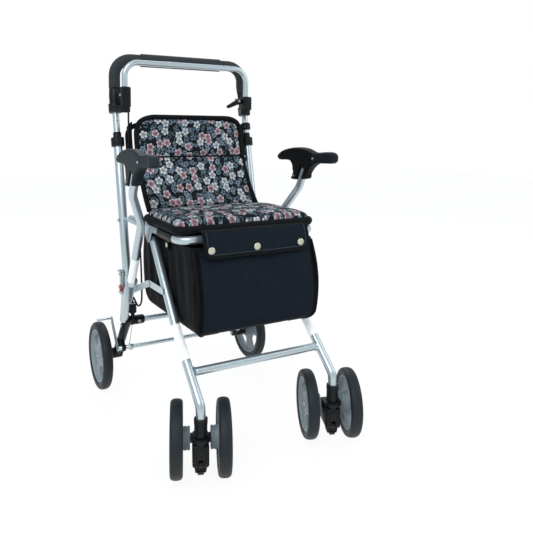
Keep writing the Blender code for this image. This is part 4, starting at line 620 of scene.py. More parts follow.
SOCKET_TOP_Z, SOCKET_FOOT_Z = 0.1397, 0.1050
for name, side in SIDES.items():
    foot = Matrix.Translation((side * LEG_X, STEM_Y, 0))
    stem = foot @ Matrix.Rotation(CASTER_TURN, 4, "Z")
    socket = turn([
        (0.0098, SOCKET_TOP_Z), (0.0126, SOCKET_TOP_Z), (0.0131, SOCKET_TOP_Z - 0.0006),
        (0.0131, SOCKET_TOP_Z - 0.0100), (0.0125, SOCKET_TOP_Z - 0.0106), (0.0125, SOCKET_FOOT_Z + 0.0062),
        (0.0131, SOCKET_FOOT_Z + 0.0056), (0.0131, SOCKET_FOOT_Z + 0.0006), (0.0125, SOCKET_FOOT_Z),
        (0.0080, SOCKET_FOOT_Z),
    ], foot)
    settle(socket, f"leg_socket_{name}", black_abs, "front_frame", "black_plastic", f"caster_socket_{name}")
    top = SOCKET_FOOT_Z - 0.0005
    flange = turn([
        (0.0070, top + 0.0100), (0.0070, top), (0.0170, top), (0.0190, top - 0.0010), (0.0197, top - 0.0028),
        (0.0197, top - 0.0062), (0.0185, top - 0.0085), (0.0150, top - 0.0095), (0.0130, top - 0.0105),
        (0.0125, top - 0.0125), (0.0125, 0.0880),
    ], Matrix.Identity(4))
    fork = bevel(block((-0.0160, -0.0130, 0.0470), (0.0160, 0.0470, 0.0910)), 0.0045, 3)
    for way in (-1, 1):
        pick(fork, lambda centre, normal: normal.y * way > 0.99 and abs(centre.x) < 0.002)
        bpy.ops.mesh.inset(thickness=0.0028, depth=0)
        bpy.ops.mesh.inset(thickness=0.0008, depth=0.0011)
        bpy.ops.object.mode_set(mode="OBJECT")
    carve(fork, block((-0.0045, -0.0200, 0.0400), (0.0045, 0.0120, 0.0640)))
    reach = WHEEL_REACH - 0.0020
    axle = turn([(0.0050, -reach), (0.0050, reach)], along((1, 0, 0), (0, CASTER_TRAIL, FRONT_AXLE_Z)), 24)
    spacers = [
        turn([(0.0090, 0), (0.0095, 0.0006), (0.0095, 0.0030), (0.0088, 0.0036)],
             along((way, 0, 0), (way * 0.0160, CASTER_TRAIL, FRONT_AXLE_Z)), 28)
        for way in (-1, 1)
    ]
    fork = joined([fork, flange, axle] + spacers)
    fork.matrix_world = stem
    settle(fork, f"swivel_fork_{name}", black_abs, f"caster_{name}", "black_plastic", f"caster_body_{name}")
    lever = block((-0.0123, -0.0060, 0.0330), (0.0123, 0.0160, 0.0465))
    pick(lever, lambda centre, normal: normal.z < -0.99)
    bpy.ops.transform.resize(value=(0.86, 0.90, 1))
    bpy.ops.object.mode_set(mode="OBJECT")
    bevel(lever, 0.0022, 3)
    pick(lever, lambda centre, normal: normal.y < -0.9 and abs(centre.x) < 0.002)
    bpy.ops.mesh.inset(thickness=0.0022, depth=0)
    bpy.ops.mesh.inset(thickness=0.0006, depth=-0.0010)
    bpy.ops.object.mode_set(mode="OBJECT")
    eye = bevel(lug([(0, -0.0080, 0.0530, 0.0045), (0, -0.0005, 0.0420, 0.0045)], 0.0080, "x"), 0.0006, 1)
    lever = joined([lever, eye])
    lever.matrix_world = stem
    settle(lever, f"swivel_lock_{name}", black_abs, f"caster_lock_{name}", "black_plastic", f"caster_lock_{name}")


# Front legs: bent aluminium tubes from the seat's gussets down to the caster sockets.
# They are drawn and bent like the posts, and a straight crossbar is welded between them.
def in_middle(place):
    """A place of the side view as a point in the frame's middle plane."""
    return Vector((0, *place))


LEG_PIVOT, LEG_KNEE, LEG_FOOT = (0.0090, 0.4370), (-0.1380, 0.2640), (-0.2530, 0.1625)
CROSSBAR_Z = 0.2068
leg_slope = (LEG_FOOT[0] - LEG_KNEE[0]) / (LEG_FOOT[1] - LEG_KNEE[1])
CROSSBAR = (LEG_KNEE[0] + (CROSSBAR_Z - LEG_KNEE[1]) * leg_slope, CROSSBAR_Z)
leg_ahead = (in_middle(LEG_KNEE) - in_middle(LEG_PIVOT)).normalized()
for name, side in SIDES.items():
    x = side * LEG_X
    top = in_middle(LEG_PIVOT) - leg_ahead * 0.0090
    route = [(x, top.y, top.z), (x, *LEG_KNEE), (x, *LEG_FOOT), (x, STEM_Y, SOCKET_TOP_Z), (x, STEM_Y, 0.1200)]
    leg = bevel(bend_tube(route, [0.20, 0.020, 0.010], LEG_R, 36), 0.0022, 3)
    settle(leg, f"bent_front_leg_{name}", aluminium, "front_frame", "silver", f"front_leg_{name}")
    start = Vector((x, top.y, top.z)) - leg_ahead * 0.0004
    cap = turn([(0.0070, -0.0006), (0.0092, 0), (0.0100, 0.0012), (0.0100, 0.0100), (0.0095, 0.0108)],
               along(leg_ahead, start))
    settle(cap, f"leg_end_cap_{name}", black_abs, "front_frame", "black_plastic")
end = LEG_X - LEG_R + 0.0010
flare = [(0.0108, -end), (0.0096, -end + 0.0022), (0.0086, -end + 0.0048), (0.0082, -end + 0.0075)]
bar = turn(flare + [(r, -z) for r, z in flare[::-1]], along((1, 0, 0), (0, *CROSSBAR)), 32)
settle(bar, "welded_crossbar", aluminium, "front_frame", "silver", "front_crossbar")


# Stays: flat aluminium links with round ends, bolted to the posts and the legs and riveted at the knee.
# Each is hulled round its two ends and lightly bevelled.
STAY_LEG, KNEE = (-0.0770, 0.3385), (0.0050, 0.3350)
REAR_STAY_X, FRONT_STAY_X = 0.1669, 0.1646
for name, side in SIDES.items():
    for part, x, place in (("rear", REAR_STAY_X, STAY_POST), ("front", FRONT_STAY_X, STAY_LEG)):
        link = bevel(lug([(side * x, *place, 0.0075), (side * x, *KNEE, 0.0075)], 0.0020, "x"), 0.0004, 1)
        settle(link, f"{part}_stay_link_{name}", aluminium, f"{part}_stay_{name}", "silver", f"{part}_stay_{name}")
    heads = [
        bolt((-side, 0, 0), (side * (LEG_X - LEG_R + 0.0006), *STAY_LEG), 0.0056),
        bolt((side, 0, 0), (side * (LEG_X + LEG_R + 0.0008), *LEG_PIVOT), 0.0050),
    ]
    settle(joined(heads), f"leg_bolts_{name}", steel, "front_frame", "steel")
    knee = bolt((-side, 0, 0), (side * (FRONT_STAY_X - 0.0009), *KNEE), 0.0048)
    settle(knee, f"knee_rivet_{name}", steel, f"front_stay_{name}", "steel")


# Reflective sleeves: white shrink tubing on each front leg and each arm tube, for use after dark.
# A sleeve is a tube over the tube, with its ends rolled in.
# Reflective sleeving: glossy white with fine cells, and a painted glow: a faint white emission makes it look
# brighter than paint.
sleeve_white, tree, shader, place = finish("white_sleeving_with_painted_glow", {
    "Base Color": linear("#f6f8f8"), "Roughness": 0.38, "Coat Weight": 0.3, "Coat Roughness": 0.25,
    # The emission is a painted glow that stands in for the light the cells give back.
    "Emission Color": (1, 1, 1, 1), "Emission Strength": 0.22,
})
cells = add(tree, "ShaderNodeTexVoronoi", {"Vector": place, "Scale": 700.0})
bump = add(tree, "ShaderNodeBump", {"Height": cells, "Strength": 0.15, "Distance": 0.0001})
plug(tree, shader, {"Normal": bump})


def sleeve(start, end, radius):
    """A thin sleeve between two points, rolled in at both ends."""
    start, end = Vector(start), Vector(end)
    length = (end - start).length
    return turn([
        (radius - 0.0003, 0), (radius + 0.0003, 0.0004), (radius + 0.0005, 0.0012),
        (radius + 0.0005, length - 0.0012), (radius + 0.0003, length - 0.0004), (radius - 0.0003, length),
    ], along(end - start, start), 36)


ARM_SLOPE, ARM_AT = -0.526, (0.1285, 0.240)
ARM_TUBE_X, ARMREST_X, ARM_R = POST_X - 0.0005, POST_X + 0.0306, 0.0093


def arm_y(z):
    """The arm tube's centre line in the side view."""
    return ARM_AT[0] + ARM_SLOPE * (z - ARM_AT[1])


for name, side in SIDES.items():
    x = side * LEG_X
    white = bend_tube([(x, -0.1263, 0.2777), (x, *LEG_KNEE), (x, -0.1840, 0.2234)], [0.20], LEG_R + 0.0006, 36)
    bevel(white, 0.0005, 2)
    settle(white, f"leg_sleeve_{name}", sleeve_white, "front_frame", "silver")
    ends = [(side * ARM_TUBE_X, arm_y(z), z) for z in (0.3230, 0.3840)]
    settle(sleeve(*ends, ARM_R), f"arm_sleeve_{name}", sleeve_white, "rear_frame", "silver")


# Arm tubes: aluminium tubes that lean forwards from the posts to the armrests and flare outwards.
# A flat tongue under each bolts it to the post, and a short brace is welded across.
BRACE_Z, BRACE_LENGTH = 0.465, 0.0800
for name, side in SIDES.items():
    route = [
        (side * (POST_X - 0.0030), arm_y(0.312), 0.312), (side * ARM_TUBE_X, arm_y(0.345), 0.345),
        (side * ARM_TUBE_X, arm_y(0.470), 0.470), (side * ARMREST_X, arm_y(0.540), 0.540),
        (side * ARMREST_X, arm_y(0.597), 0.597),
    ]
    arm = bend_tube(route, [0.05, 0.05, 0.05], ARM_R, 36)
    tongue_x = side * 0.1693
    tongue = bevel(lug([
        (tongue_x, arm_y(0.3213), 0.3213, 0.0080), (tongue_x, *STAY_POST, 0.0080),
        (tongue_x, *TONGUE_FOOT, 0.0080),
    ], 0.0022, "x"), 0.0004, 1)
    brace = turn([(0.0052, 0), (0.0040, 0.0022), (0.0035, 0.0042), (0.0035, BRACE_LENGTH)],
                 along((0, 1, 0), (side * ARM_TUBE_X, arm_y(BRACE_Z) + ARM_R, BRACE_Z)), 24)
    brace.scale.z = (post_y(BRACE_Z) - arm_y(BRACE_Z) - ARM_R) / BRACE_LENGTH
    settle(joined([arm, tongue, brace]), f"flared_arm_tube_{name}", aluminium, "rear_frame", "silver",
           f"arm_tube_{name}")


# Armrests: grips moulded in polyurethane foam, each with a pommel behind and a stem that forks over its tube.
# The outline is drawn out from a disc, rounded by insets, evened by a remesh, and slotted for the tube.
def curve_through(points, spacing, closed=False):
    """Points on one smooth curve through the given points, about this far apart."""
    points = [Vector(point) for point in points]
    if closed:
        padded = points[-1:] + points + points[:2]
    else:
        padded = [2 * points[0] - points[1]] + points + [2 * points[-1] - points[-2]]
    route = []
    for p, q, r, s in zip(padded, padded[1:], padded[2:], padded[3:]):
        steps = max(1, round((r - q).length / spacing))
        for k in range(steps):
            t = k / steps
            route.append(0.5 * ((2 * q) + (r - p) * t + (2 * p - 5 * q + 4 * r - s) * t ** 2
                                + (3 * q - p - 3 * r + s) * t ** 3))
    return route if closed else route + [points[-1]]


def slab(outline, x, half, rounding, steps=4):
    """A moulded slab: a side-view outline across x, with its edges rounded by stepped insets."""
    bpy.ops.object.select_all(action="DESELECT")
    bpy.ops.mesh.primitive_circle_add(vertices=len(outline), radius=1, fill_type="NGON")
    piece = bpy.context.object
    for corner, (y, z) in zip(piece.data.vertices, outline):
        corner.co = (x, y, z)
    deep, tall = rounding
    for way in (-1, 1):
        pick(piece, lambda centre, normal: len(piece.data.polygons) == 1 or normal.x < -0.99)
        if way < 0:
            bpy.ops.mesh.extrude_region_move(TRANSFORM_OT_translate={"value": (2 * (half - deep), 0, 0)})
            bpy.ops.mesh.select_all(action="SELECT")
            bpy.ops.mesh.normals_make_consistent(inside=False)
        bpy.ops.object.mode_set(mode="OBJECT")
    piece.data.transform(Matrix.Translation((deep - half, 0, 0)))
    for way in (-1, 1):
        pick(piece, lambda centre, normal: normal.x * way > 0.99)
        for k in range(steps):
            low, high = math.pi / 2 * k / steps, math.pi / 2 * (k + 1) / steps
            bpy.ops.mesh.inset(thickness=tall * (math.cos(low) - math.cos(high)),
                               depth=deep * (math.sin(high) - math.sin(low)))
        bpy.ops.object.mode_set(mode="OBJECT")
    return piece


def remeshed(piece, voxel, rounds=0):
    """Remeshes a piece in even cells and smooths it a few times."""
    cells = piece.modifiers.new("cells", "REMESH")
    cells.mode = "VOXEL"
    cells.voxel_size = voxel
    if rounds:
        smoothing = piece.modifiers.new("smoothing", "SMOOTH")
        smoothing.factor = 0.5
        smoothing.iterations = rounds
    apply_modifiers(piece)
    return piece


# Moulded polyurethane foam: a closed skin, matt with a slight sheen. The left one is charcoal grey with a
# darker over-moulded grip, and the right one is near black. The skin's grain is about 0.8 mm.
def foam_skin(name, plain, grip, grip_from):
    """A foam skin in one colour, and in another for the grip in front of grip_from."""
    made, tree, shader, place = finish(name, {"Specular IOR Level": 0.15})
    y = add(tree, "ShaderNodeSeparateXYZ", {"Vector": place}).node.outputs["Y"]
    front = add(tree, "ShaderNodeMath", {0: y, 1: grip_from}, operation="LESS_THAN")
    cloud = add(tree, "ShaderNodeTexNoise", {"Vector": place, "Scale": 90.0, "Detail": 3.0})
    spread = add(tree, "ShaderNodeMapRange", {"Value": cloud, "To Min": 0.85, "To Max": 1.15})
    colour = add(tree, "ShaderNodeMix", {0: front, 6: linear(plain), 7: linear(grip)}, data_type="RGBA")
    worn = add(tree, "ShaderNodeVectorMath", {0: colour, 3: spread}, operation="SCALE")
    rough = add(tree, "ShaderNodeMapRange", {"Value": cloud, "To Min": 0.42, "To Max": 0.58})
    grain = add(tree, "ShaderNodeTexNoise", {"Vector": place, "Scale": 1250.0, "Detail": 2.0})
    bump = add(tree, "ShaderNodeBump", {"Height": grain, "Strength": 0.12, "Distance": 0.0003})
    plug(tree, shader, {"Base Color": worn, "Roughness": rough, "Normal": bump})
    return made


ARMREST_OUTLINE = [
    (0.0520, 0.6050), (0.0270, 0.6055), (0.0010, 0.6050), (-0.0105, 0.5965), (-0.0136, 0.5840),
    (-0.0125, 0.5700), (-0.0074, 0.5612), (-0.0235, 0.5586), (-0.0654, 0.5640), (-0.0695, 0.5729),
    (-0.0777, 0.5834), (-0.0920, 0.5950), (-0.1102, 0.6025), (-0.1400, 0.6045), (-0.1630, 0.6058),
    (-0.1715, 0.6120), (-0.1715, 0.6245), (-0.1625, 0.6305), (-0.1448, 0.6314), (-0.1194, 0.6293),
    (-0.0971, 0.6288), (-0.0845, 0.6321), (-0.0631, 0.6372), (-0.0346, 0.6391), (-0.0029, 0.6368),
    (0.0277, 0.6315), (0.0510, 0.6225), (0.0600, 0.6130),
]
GRIP_FROM, GRIP_TO, GRIP_Z, RIB_PITCH, RIB_DEPTH = -0.0950, -0.1600, 0.6180, 0.0048, 0.0009
SLOT_FOOT_Z = 0.5380
FOAM_COLOURS = {"left": ("charcoal", "#1c2428", "#29333a"), "right": ("black", "#080b0e", "#151c23")}
arm_up = Vector((0, ARM_SLOPE, 1)).normalized()
arm_ahead = Vector((0, 1, -ARM_SLOPE)).normalized()
outline = curve_through([(0, *point) for point in ARMREST_OUTLINE], 0.0022, True)
outline = [(point.y, point.z) for point in outline]
for name, side in SIDES.items():
    x = side * ARMREST_X
    grip = remeshed(slab(outline, x, 0.0112, (0.0056, 0.0058)), 0.0013, 6)
    for corner in grip.data.vertices:
        y, z = corner.co.y, corner.co.z
        if GRIP_TO < y < GRIP_FROM:
            fade = min(1, (GRIP_FROM - y) / 0.003, (y - GRIP_TO) / 0.003)
            wave = 0.5 - 0.5 * math.cos(2 * math.pi * (y - GRIP_FROM) / RIB_PITCH)
            corner.co += Vector((x - corner.co.x, 0, GRIP_Z - z)).normalized() * RIB_DEPTH * fade * wave
    slot = block((-0.0200, -ARM_R - 0.0003, 0), (0.0200, ARM_R + 0.0003, 0.0600))
    slot.data.transform(Matrix.Translation((x, arm_y(SLOT_FOOT_Z), SLOT_FOOT_Z)) @ Matrix((
        (1, 0, 0), (0, arm_ahead.y, arm_up.y), (0, arm_ahead.z, arm_up.z))).to_4x4())
    carve(grip, slot)
    hue, plain, grip_colour = FOAM_COLOURS[name]
    skin = foam_skin(f"{hue}_polyurethane_foam", plain, grip_colour, GRIP_FROM)
    settle(grip, f"foam_armrest_{name}", skin, "rear_frame", f"{name}_armrest", f"armrest_{name}")
    screws = [bolt((way * side, 0, 0), (x + way * side * 0.0108, y, z), 0.0032)
              for y, z in ((-0.0996, 0.6140), (-0.0198, 0.5686)) for way in (-1, 1)]
    settle(joined(screws), f"armrest_screws_{name}", steel, "rear_frame", "steel")


# Seat frame: a bent aluminium rail, with welded gussets that the front legs are bolted to.
# Each side rail has a smooth black wrap. The board on the rail is covered in black, under the cushion.
RAIL_R, RAIL_X, RAIL_FRONT_Y, WRAP_Y = 0.0090, 0.1576, -0.1660, (-0.0500, -0.1340)
GUSSET_X = RAIL_X + RAIL_R - 0.0015
back_y = post_y(SEAT_Z) + 0.0120
route = [(-RAIL_X, back_y, SEAT_Z), (-RAIL_X, RAIL_FRONT_Y, SEAT_Z), (RAIL_X, RAIL_FRONT_Y, SEAT_Z),
         (RAIL_X, back_y, SEAT_Z)]
rail = [bend_tube(route, [0.030, 0.030], RAIL_R, 32)]
bevel(rail[0], 0.0015, 2)
for side in SIDES.values():
    gusset = bevel(lug([
        (side * GUSSET_X, *LEG_PIVOT, 0.0095), (side * GUSSET_X, LEG_PIVOT[0] - 0.021, SEAT_Z, 0.0055),
        (side * GUSSET_X, LEG_PIVOT[0] + 0.021, SEAT_Z, 0.0055),
    ], 0.0030, "x"), 0.0006, 1)
    rail.append(gusset)
for name, side in SIDES.items():
    wrap = sleeve(*[(side * RAIL_X, y, SEAT_Z) for y in WRAP_Y], RAIL_R + 0.0006)
    settle(wrap, f"rail_wrap_{name}", black_abs, "seat_frame", "bag_cloth")
settle(joined(rail), "bent_seat_rail", aluminium, "seat_frame", "silver", "seat_frame_tube")

BOARD_Z, SEAT_HALF_W, SEAT_Y = 0.4695, 0.169, (-0.167, 0.051)
board = bevel(block((0.010 - SEAT_HALF_W, SEAT_Y[0] + 0.009, BOARD_Z),
                    (SEAT_HALF_W - 0.010, SEAT_Y[1] - 0.006, BOARD_Z + 0.0080)), 0.0020, 3)
settle(board, "cloth_covered_seat_board", black_abs, "seat_frame", "black_plastic", "seat_board")


# Fold lock: a pressed aluminium plate on the left post, with a horn, a peg, a catch and a plated steel lever.
# Both are hulled round their ends and lightly bevelled, and the red release tab is moulded onto the lever.
# Red ABS: a clear signal red with an even, moderate gloss.
red_abs, tree, shader, place = finish("red_moulded_abs", {"Base Color": linear("#a82a22"), "Roughness": 0.4})
grain = add(tree, "ShaderNodeTexNoise", {"Vector": place, "Scale": 1000.0})
bump = add(tree, "ShaderNodeBump", {"Height": grain, "Strength": 0.1, "Distance": 0.0002})
plug(tree, shader, {"Normal": bump})
LOCK_TOP = (POST_CORNER[0], POST_CORNER[1] + 0.001)
LOCK_TIP = (LOCK_TOP[0] - 0.005, LOCK_TOP[1] - 0.037)
plate_x = -(POST_X + POST_R + 0.0018)
lever_x = plate_x - 0.0035
horn_tip = (plate_x, LOCK_TOP[0] + 0.0110, LOCK_TOP[1] + 0.0060)
plate = bevel(lug([(plate_x, *LOCK_TOP, 0.0100), (plate_x, *LOCK_LOW, 0.0080)], 0.0030, "x"), 0.0006, 1)
pin = turn([(0.0025, 0), (0.0025, 0.0052)], along((-1, 0, 0), (plate_x, *LOCK_TOP)), 20)
lower_bolt = bolt((-1, 0, 0), (plate_x - 0.0014, *LOCK_LOW), 0.0055)
horn = bevel(lug([(*horn_tip, 0.0048), (plate_x, *LOCK_TOP, 0.0070)], 0.0030, "x"), 0.0006, 1)
peg = turn([(0.0030, 0), (0.0030, 0.0070), (0.0024, 0.0078)], along((-1, 0, 0), horn_tip), 20)
catch = turn([(0.0036, 0), (0.0036, 0.0070), (0.0028, 0.0078)],
             along((-1, 0, 0), (plate_x, LOCK_LOW[0] - 0.0060, LOCK_LOW[1] + 0.0140)), 20)
settle(joined([plate, pin, lower_bolt, horn, peg, catch]), "pressed_fold_lock_plate", aluminium, "rear_frame",
       "silver", "fold_lock_plate")
lever = bevel(lug([(lever_x, *LOCK_TOP, 0.0062), (lever_x, *LOCK_TIP, 0.0050)], 0.0030, "x"), 0.0007, 1)
head = bolt((-1, 0, 0), (lever_x - 0.0013, *LOCK_TOP), 0.0046)
settle(joined([lever, head]), "pressed_fold_lock_lever", steel, "fold_lock_lever", "steel", "fold_lock_lever")
tab = bevel(lug([(lever_x - 0.0008, LOCK_TIP[0] + 0.0006, LOCK_TIP[1] + 0.0075, 0.0054),
                 (lever_x - 0.0008, *LOCK_TIP, 0.0056)], 0.0052, "x"), 0.0012, 2)
settle(tab, "red_release_tab", red_abs, "fold_lock_lever", "steel")


# Handle: a telescopic aluminium hoop with a foam sleeve over its top and a thicker foam grip in the middle.
# The tube and the sleeve are drawn and bent, and the grip is turned, with fine rings cut round it.
# Closed-cell foam: charcoal black and dull, with cells of about 1 mm in its skin and a soft sheen.
foam_rubber, tree, shader, place = finish("black_closed_cell_foam", {"Roughness": 0.72})
cells = add(tree, "ShaderNodeTexVoronoi", {"Vector": place, "Scale": 900.0})
cloud = add(tree, "ShaderNodeTexNoise", {"Vector": place, "Scale": 60.0, "Detail": 3.0})
colour = add(tree, "ShaderNodeMix", {0: cloud, 6: linear("#181d20"), 7: linear("#283035")}, data_type="RGBA")
bump = add(tree, "ShaderNodeBump", {"Height": cells, "Strength": 0.25, "Distance": 0.0003})
plug(tree, shader, {"Base Color": colour, "Normal": bump, "Sheen Weight": 0.15, "Sheen Roughness": 0.4})

HANDLE_TOP_Z, HANDLE_X = POST_TOP_Z + 0.1955, POST_X - 0.0025
BRACKET_BEND_Z, HANDLE_BEND_Z = HANDLE_TOP_Z - 0.0940, HANDLE_TOP_Z - 0.0540
FOAM_FOOT_Z = HANDLE_TOP_Z - 0.0750
HANDLE_Y = post_y(BRACKET_BEND_Z) + 0.0079


def handle_point(z):
    """A point on the handle's left leg at this height."""
    if z < BRACKET_BEND_Z:
        return Vector((-POST_X, post_y(z), z))
    low = Vector((-POST_X, post_y(BRACKET_BEND_Z), BRACKET_BEND_Z))
    high = Vector((-HANDLE_X, HANDLE_Y, HANDLE_BEND_Z))
    return low.lerp(high, (z - BRACKET_BEND_Z) / (HANDLE_BEND_Z - BRACKET_BEND_Z))


def handle_hoop(foot_z, radius, sides):
    """A tube on the handle's line from a height on the left leg, over the top, to the right leg."""
    half = [handle_point(foot_z)] + [handle_point(BRACKET_BEND_Z)] * (foot_z < BRACKET_BEND_Z)
    half += [handle_point(HANDLE_BEND_Z), Vector((-HANDLE_X, HANDLE_Y, HANDLE_TOP_Z))]
    bends = [0.030] * (len(half) - 2) + [0.042]
    other = [Vector((-point.x, point.y, point.z)) for point in half[::-1]]
    return bend_tube(half + other, bends + bends[::-1], radius, sides)


INNER_FOOT_Z = 0.5400
inner = handle_hoop(INNER_FOOT_Z, 0.0080, 32)
settle(inner, "telescopic_handle_tube", aluminium, "handle", "silver", "handle_tube")
sleeve_foam = bevel(handle_hoop(FOAM_FOOT_Z, 0.0140, 40), 0.0030, 3)
settle(sleeve_foam, "handle_foam_sleeve", foam_rubber, "handle", "black_foam", "handle_foam")
GRIP_HALF = 0.1107
profile = [(radius, rise - GRIP_HALF) for radius, rise in (
    (0.0142, 0), (0.0158, 0.0002), (0.0165, 0.0010), (0.0165, 0.0060), (0.0159, 0.0064), (0.0159, 0.0076),
    (0.0165, 0.0080),
)]
grip = turn(profile + [(r, -z) for r, z in profile[::-1]], along((1, 0, 0), (0, HANDLE_Y, HANDLE_TOP_Z)), 48)
settle(grip, "handle_foam_grip", foam_rubber, "handle", "black_foam", "handle_grip")
ring_z = POST_TOP_Z + 0.0305
ring = turn([
    (0.0084, -0.0095), (0.0112, -0.0095), (0.0135, -0.0070), (0.0135, -0.0012), (0.0129, -0.0008),
    (0.0129, 0.0008), (0.0135, 0.0012), (0.0135, 0.0070), (0.0112, 0.0095), (0.0084, 0.0095),
], along(POST_AXIS, (POST_X, post_y(ring_z), ring_z)))
settle(ring, "height_stop_ring", black_abs, "handle", "black_plastic", "height_ring")

# Handle brackets: ABS mouldings that clamp the tube, each with a collar, a plate and a socket for the brake bar.
# The right one also has an ear with a pin, on which the parking lever turns.
BRAKE_X, BRAKE_Y, BRAKE_R = HANDLE_X - 0.0116, HANDLE_Y - 0.0480, 0.0070
BRACKET_Z = (HANDLE_TOP_Z - 0.1340, HANDLE_TOP_Z - 0.1120)
BRAKE_FOOT_Z, BRAKE_PIVOT_Z = BRACKET_Z[1] + 0.0100, BRACKET_Z[1] + 0.0205
PARK_X, PARK_Z = BRAKE_X - 0.0195, BRACKET_Z[1] + 0.0150
middle_z = sum(BRACKET_Z) / 2
for name, side in SIDES.items():
    x = side * BRAKE_X
    at_tube = (side * POST_X, post_y(middle_z), middle_z)
    plate = bevel(lug([(*at_tube, 0.0165), (x, BRAKE_Y, middle_z, 0.0130)], 0.0130, "z"), 0.0018, 2)
    collar = turn([
        (0.0085, -0.0110), (0.0155, -0.0110), (0.0165, -0.0102), (0.0165, -0.0062), (0.0159, -0.0058),
        (0.0159, -0.0046), (0.0165, -0.0042), (0.0165, -0.0002), (0.0159, 0.0002), (0.0159, 0.0014),
        (0.0165, 0.0018), (0.0165, 0.0102), (0.0155, 0.0110), (0.0138, 0.0114),
    ], along(POST_AXIS, at_tube))
    line = [handle_point(z) for z in (middle_z, BRACKET_BEND_Z, FOAM_FOOT_Z - 0.0010)]
    neck = bevel(bend_tube([(-side * x, y, z) for x, y, z in line], [0.030], 0.0135, 40), 0.0012, 2)
    top = BRACKET_Z[1] + (0.0380 if side < 0 else 0.0250)
    socket = block((x - 0.0110, BRAKE_Y - 0.0145, BRACKET_Z[1] - 0.0080), (x + 0.0110, BRAKE_Y + 0.0145, top))
    pick(socket, lambda centre, normal: normal.z > 0.99)
    bpy.ops.mesh.inset(thickness=0.0012, depth=0)
    bpy.ops.mesh.extrude_region_move(TRANSFORM_OT_translate={"value": (0, 0, 0.0020)})
    bpy.ops.object.mode_set(mode="OBJECT")
    bevel(socket, 0.0014, 2)
    foot = lug([(x, BRAKE_Y + way, BRACKET_Z[0] + 0.0050, 0.0128) for way in (0, 0.0020)], 0.0100, "z")
    bevel(foot, 0.0018, 2)
    parts = [plate, collar, neck, foot]
    if side > 0:
        ear = bevel(block((PARK_X - 0.0070, BRAKE_Y + 0.0085, PARK_Z - 0.0070),
                          (x - 0.0090, BRAKE_Y + 0.0125, PARK_Z + 0.0070)), 0.0014, 2)
        pin = turn([(0.0030, 0), (0.0030, 0.0100)], along((0, -1, 0), (PARK_X, BRAKE_Y + 0.0100, PARK_Z)), 20)
        parts += [ear, pin]
    slot_half = BRAKE_R + 0.00075
    pocket = block((x - slot_half, BRAKE_Y - 0.0105, BRAKE_FOOT_Z - 0.0030),
                   (x + slot_half, BRAKE_Y + 0.0130, 0.9000))
    carve(socket, pocket)
    settle(joined([socket] + parts), f"moulded_handle_bracket_{name}", black_abs, "handle",
           "black_plastic", f"handle_bracket_{name}")
    screw = bolt((side, 0, 0), (x + side * 0.0108, BRAKE_Y, BRAKE_PIVOT_Z), 0.0040)
    settle(screw, f"brake_pivot_screw_{name}", steel, "handle", "steel")

# Brake bar: a bent aluminium tube that hangs in the brackets' sockets, in front of the foam.
# It is anodised like the frame, and a screw in each socket is its pivot.
BRAKE_TOP_Z = HANDLE_TOP_Z - 0.0120
route = [(-BRAKE_X, BRAKE_Y, BRAKE_FOOT_Z), (-BRAKE_X, BRAKE_Y, BRAKE_TOP_Z),
         (BRAKE_X, BRAKE_Y, BRAKE_TOP_Z), (BRAKE_X, BRAKE_Y, BRAKE_FOOT_Z)]
bar = bevel(bend_tube(route, [0.034, 0.034], BRAKE_R, 32, math.radians(5)), 0.0010, 2)
settle(bar, "bent_brake_bar", aluminium, "brake_bar", "silver", "brake_bar")

# Parking lever: a moulded ABS wedge on the right bracket's pin, with its tip inboard.
# It is hulled round its two ends, and a screw holds it.
lever_y = BRAKE_Y + 0.0028
lever = lug([(PARK_X, lever_y, PARK_Z, 0.0072), (BRAKE_X - 0.0500, lever_y, BRACKET_Z[1], 0.0045)], 0.0100, "y")
bevel(lever, 0.0016, 2)
head = bolt((0, -1, 0), (PARK_X, lever_y - 0.0050, PARK_Z), 0.0040)
settle(lever, "moulded_parking_lever", black_abs, "parking_lever", "black_plastic", "parking_lever")
settle(head, "parking_pivot_screw", steel, "parking_lever", "steel")


# Brake cable: a sheathed wire from the left bracket down the post, round a loop and into its barrel.
# The barrel is an ABS adjuster with a steel ring, and it sits on the left clamp of the cross tube.
def wire(points, radius, closed=False):
    """A round wire or roll on a smooth line of points."""
    made = bpy.data.curves.new("wire", "CURVE")
    made.dimensions = "3D"
    line = made.splines.new("POLY")
    line.points.add(len(points) - 1)
    for mark, point in zip(line.points, points):
        mark.co = (*point, 1)
    line.use_cyclic_u = closed
    made.bevel_depth = radius
    made.bevel_resolution = 4
    made.use_fill_caps = not closed
    piece = bpy.data.objects.new("wire", made)
    bpy.context.scene.collection.objects.link(piece)
    only(piece)
    bpy.ops.object.convert(target="MESH")
    piece = bpy.context.object
    bpy.ops.object.mode_set(mode="EDIT")
    bpy.ops.mesh.select_all(action="SELECT")
    bpy.ops.mesh.remove_doubles(threshold=0.00001)
    face_outwards()
    return piece


CABLE_R = 0.0022
BARREL = Vector((-(REAR_LEG_X - 0.016), CROSS[0] - 0.006, CROSS[1] + 0.0215))
CABLE_ROUTE = [
    (-0.1590, 0.1690, BRACKET_Z[0] - 0.0003), (-0.1590, 0.1690, BRACKET_Z[0] - 0.0150),
    (-0.1592, 0.1670, 0.6400), (-0.1592, 0.1655, 0.5790), (-0.1585, 0.1640, 0.5400),
    (-0.1500, 0.1600, 0.5100), (-0.1440, 0.1520, 0.4600), (-0.1440, 0.1300, 0.3800),
    (-0.1470, 0.1130, 0.3050), (-0.1500, 0.1060, 0.2640), (-0.1540, 0.1170, 0.2500),
    (-0.1560, 0.1330, 0.2560), (-0.1575, 0.1450, 0.2640), (BARREL.x, BARREL.y, BARREL.z + 0.0348),
    (BARREL.x, BARREL.y, BARREL.z + 0.0258),
]
cable = wire(curve_through(CABLE_ROUTE, 0.0040), CABLE_R)
settle(cable, "sheathed_brake_cable", black_abs, "rear_frame", "black_plastic", "brake_cable")
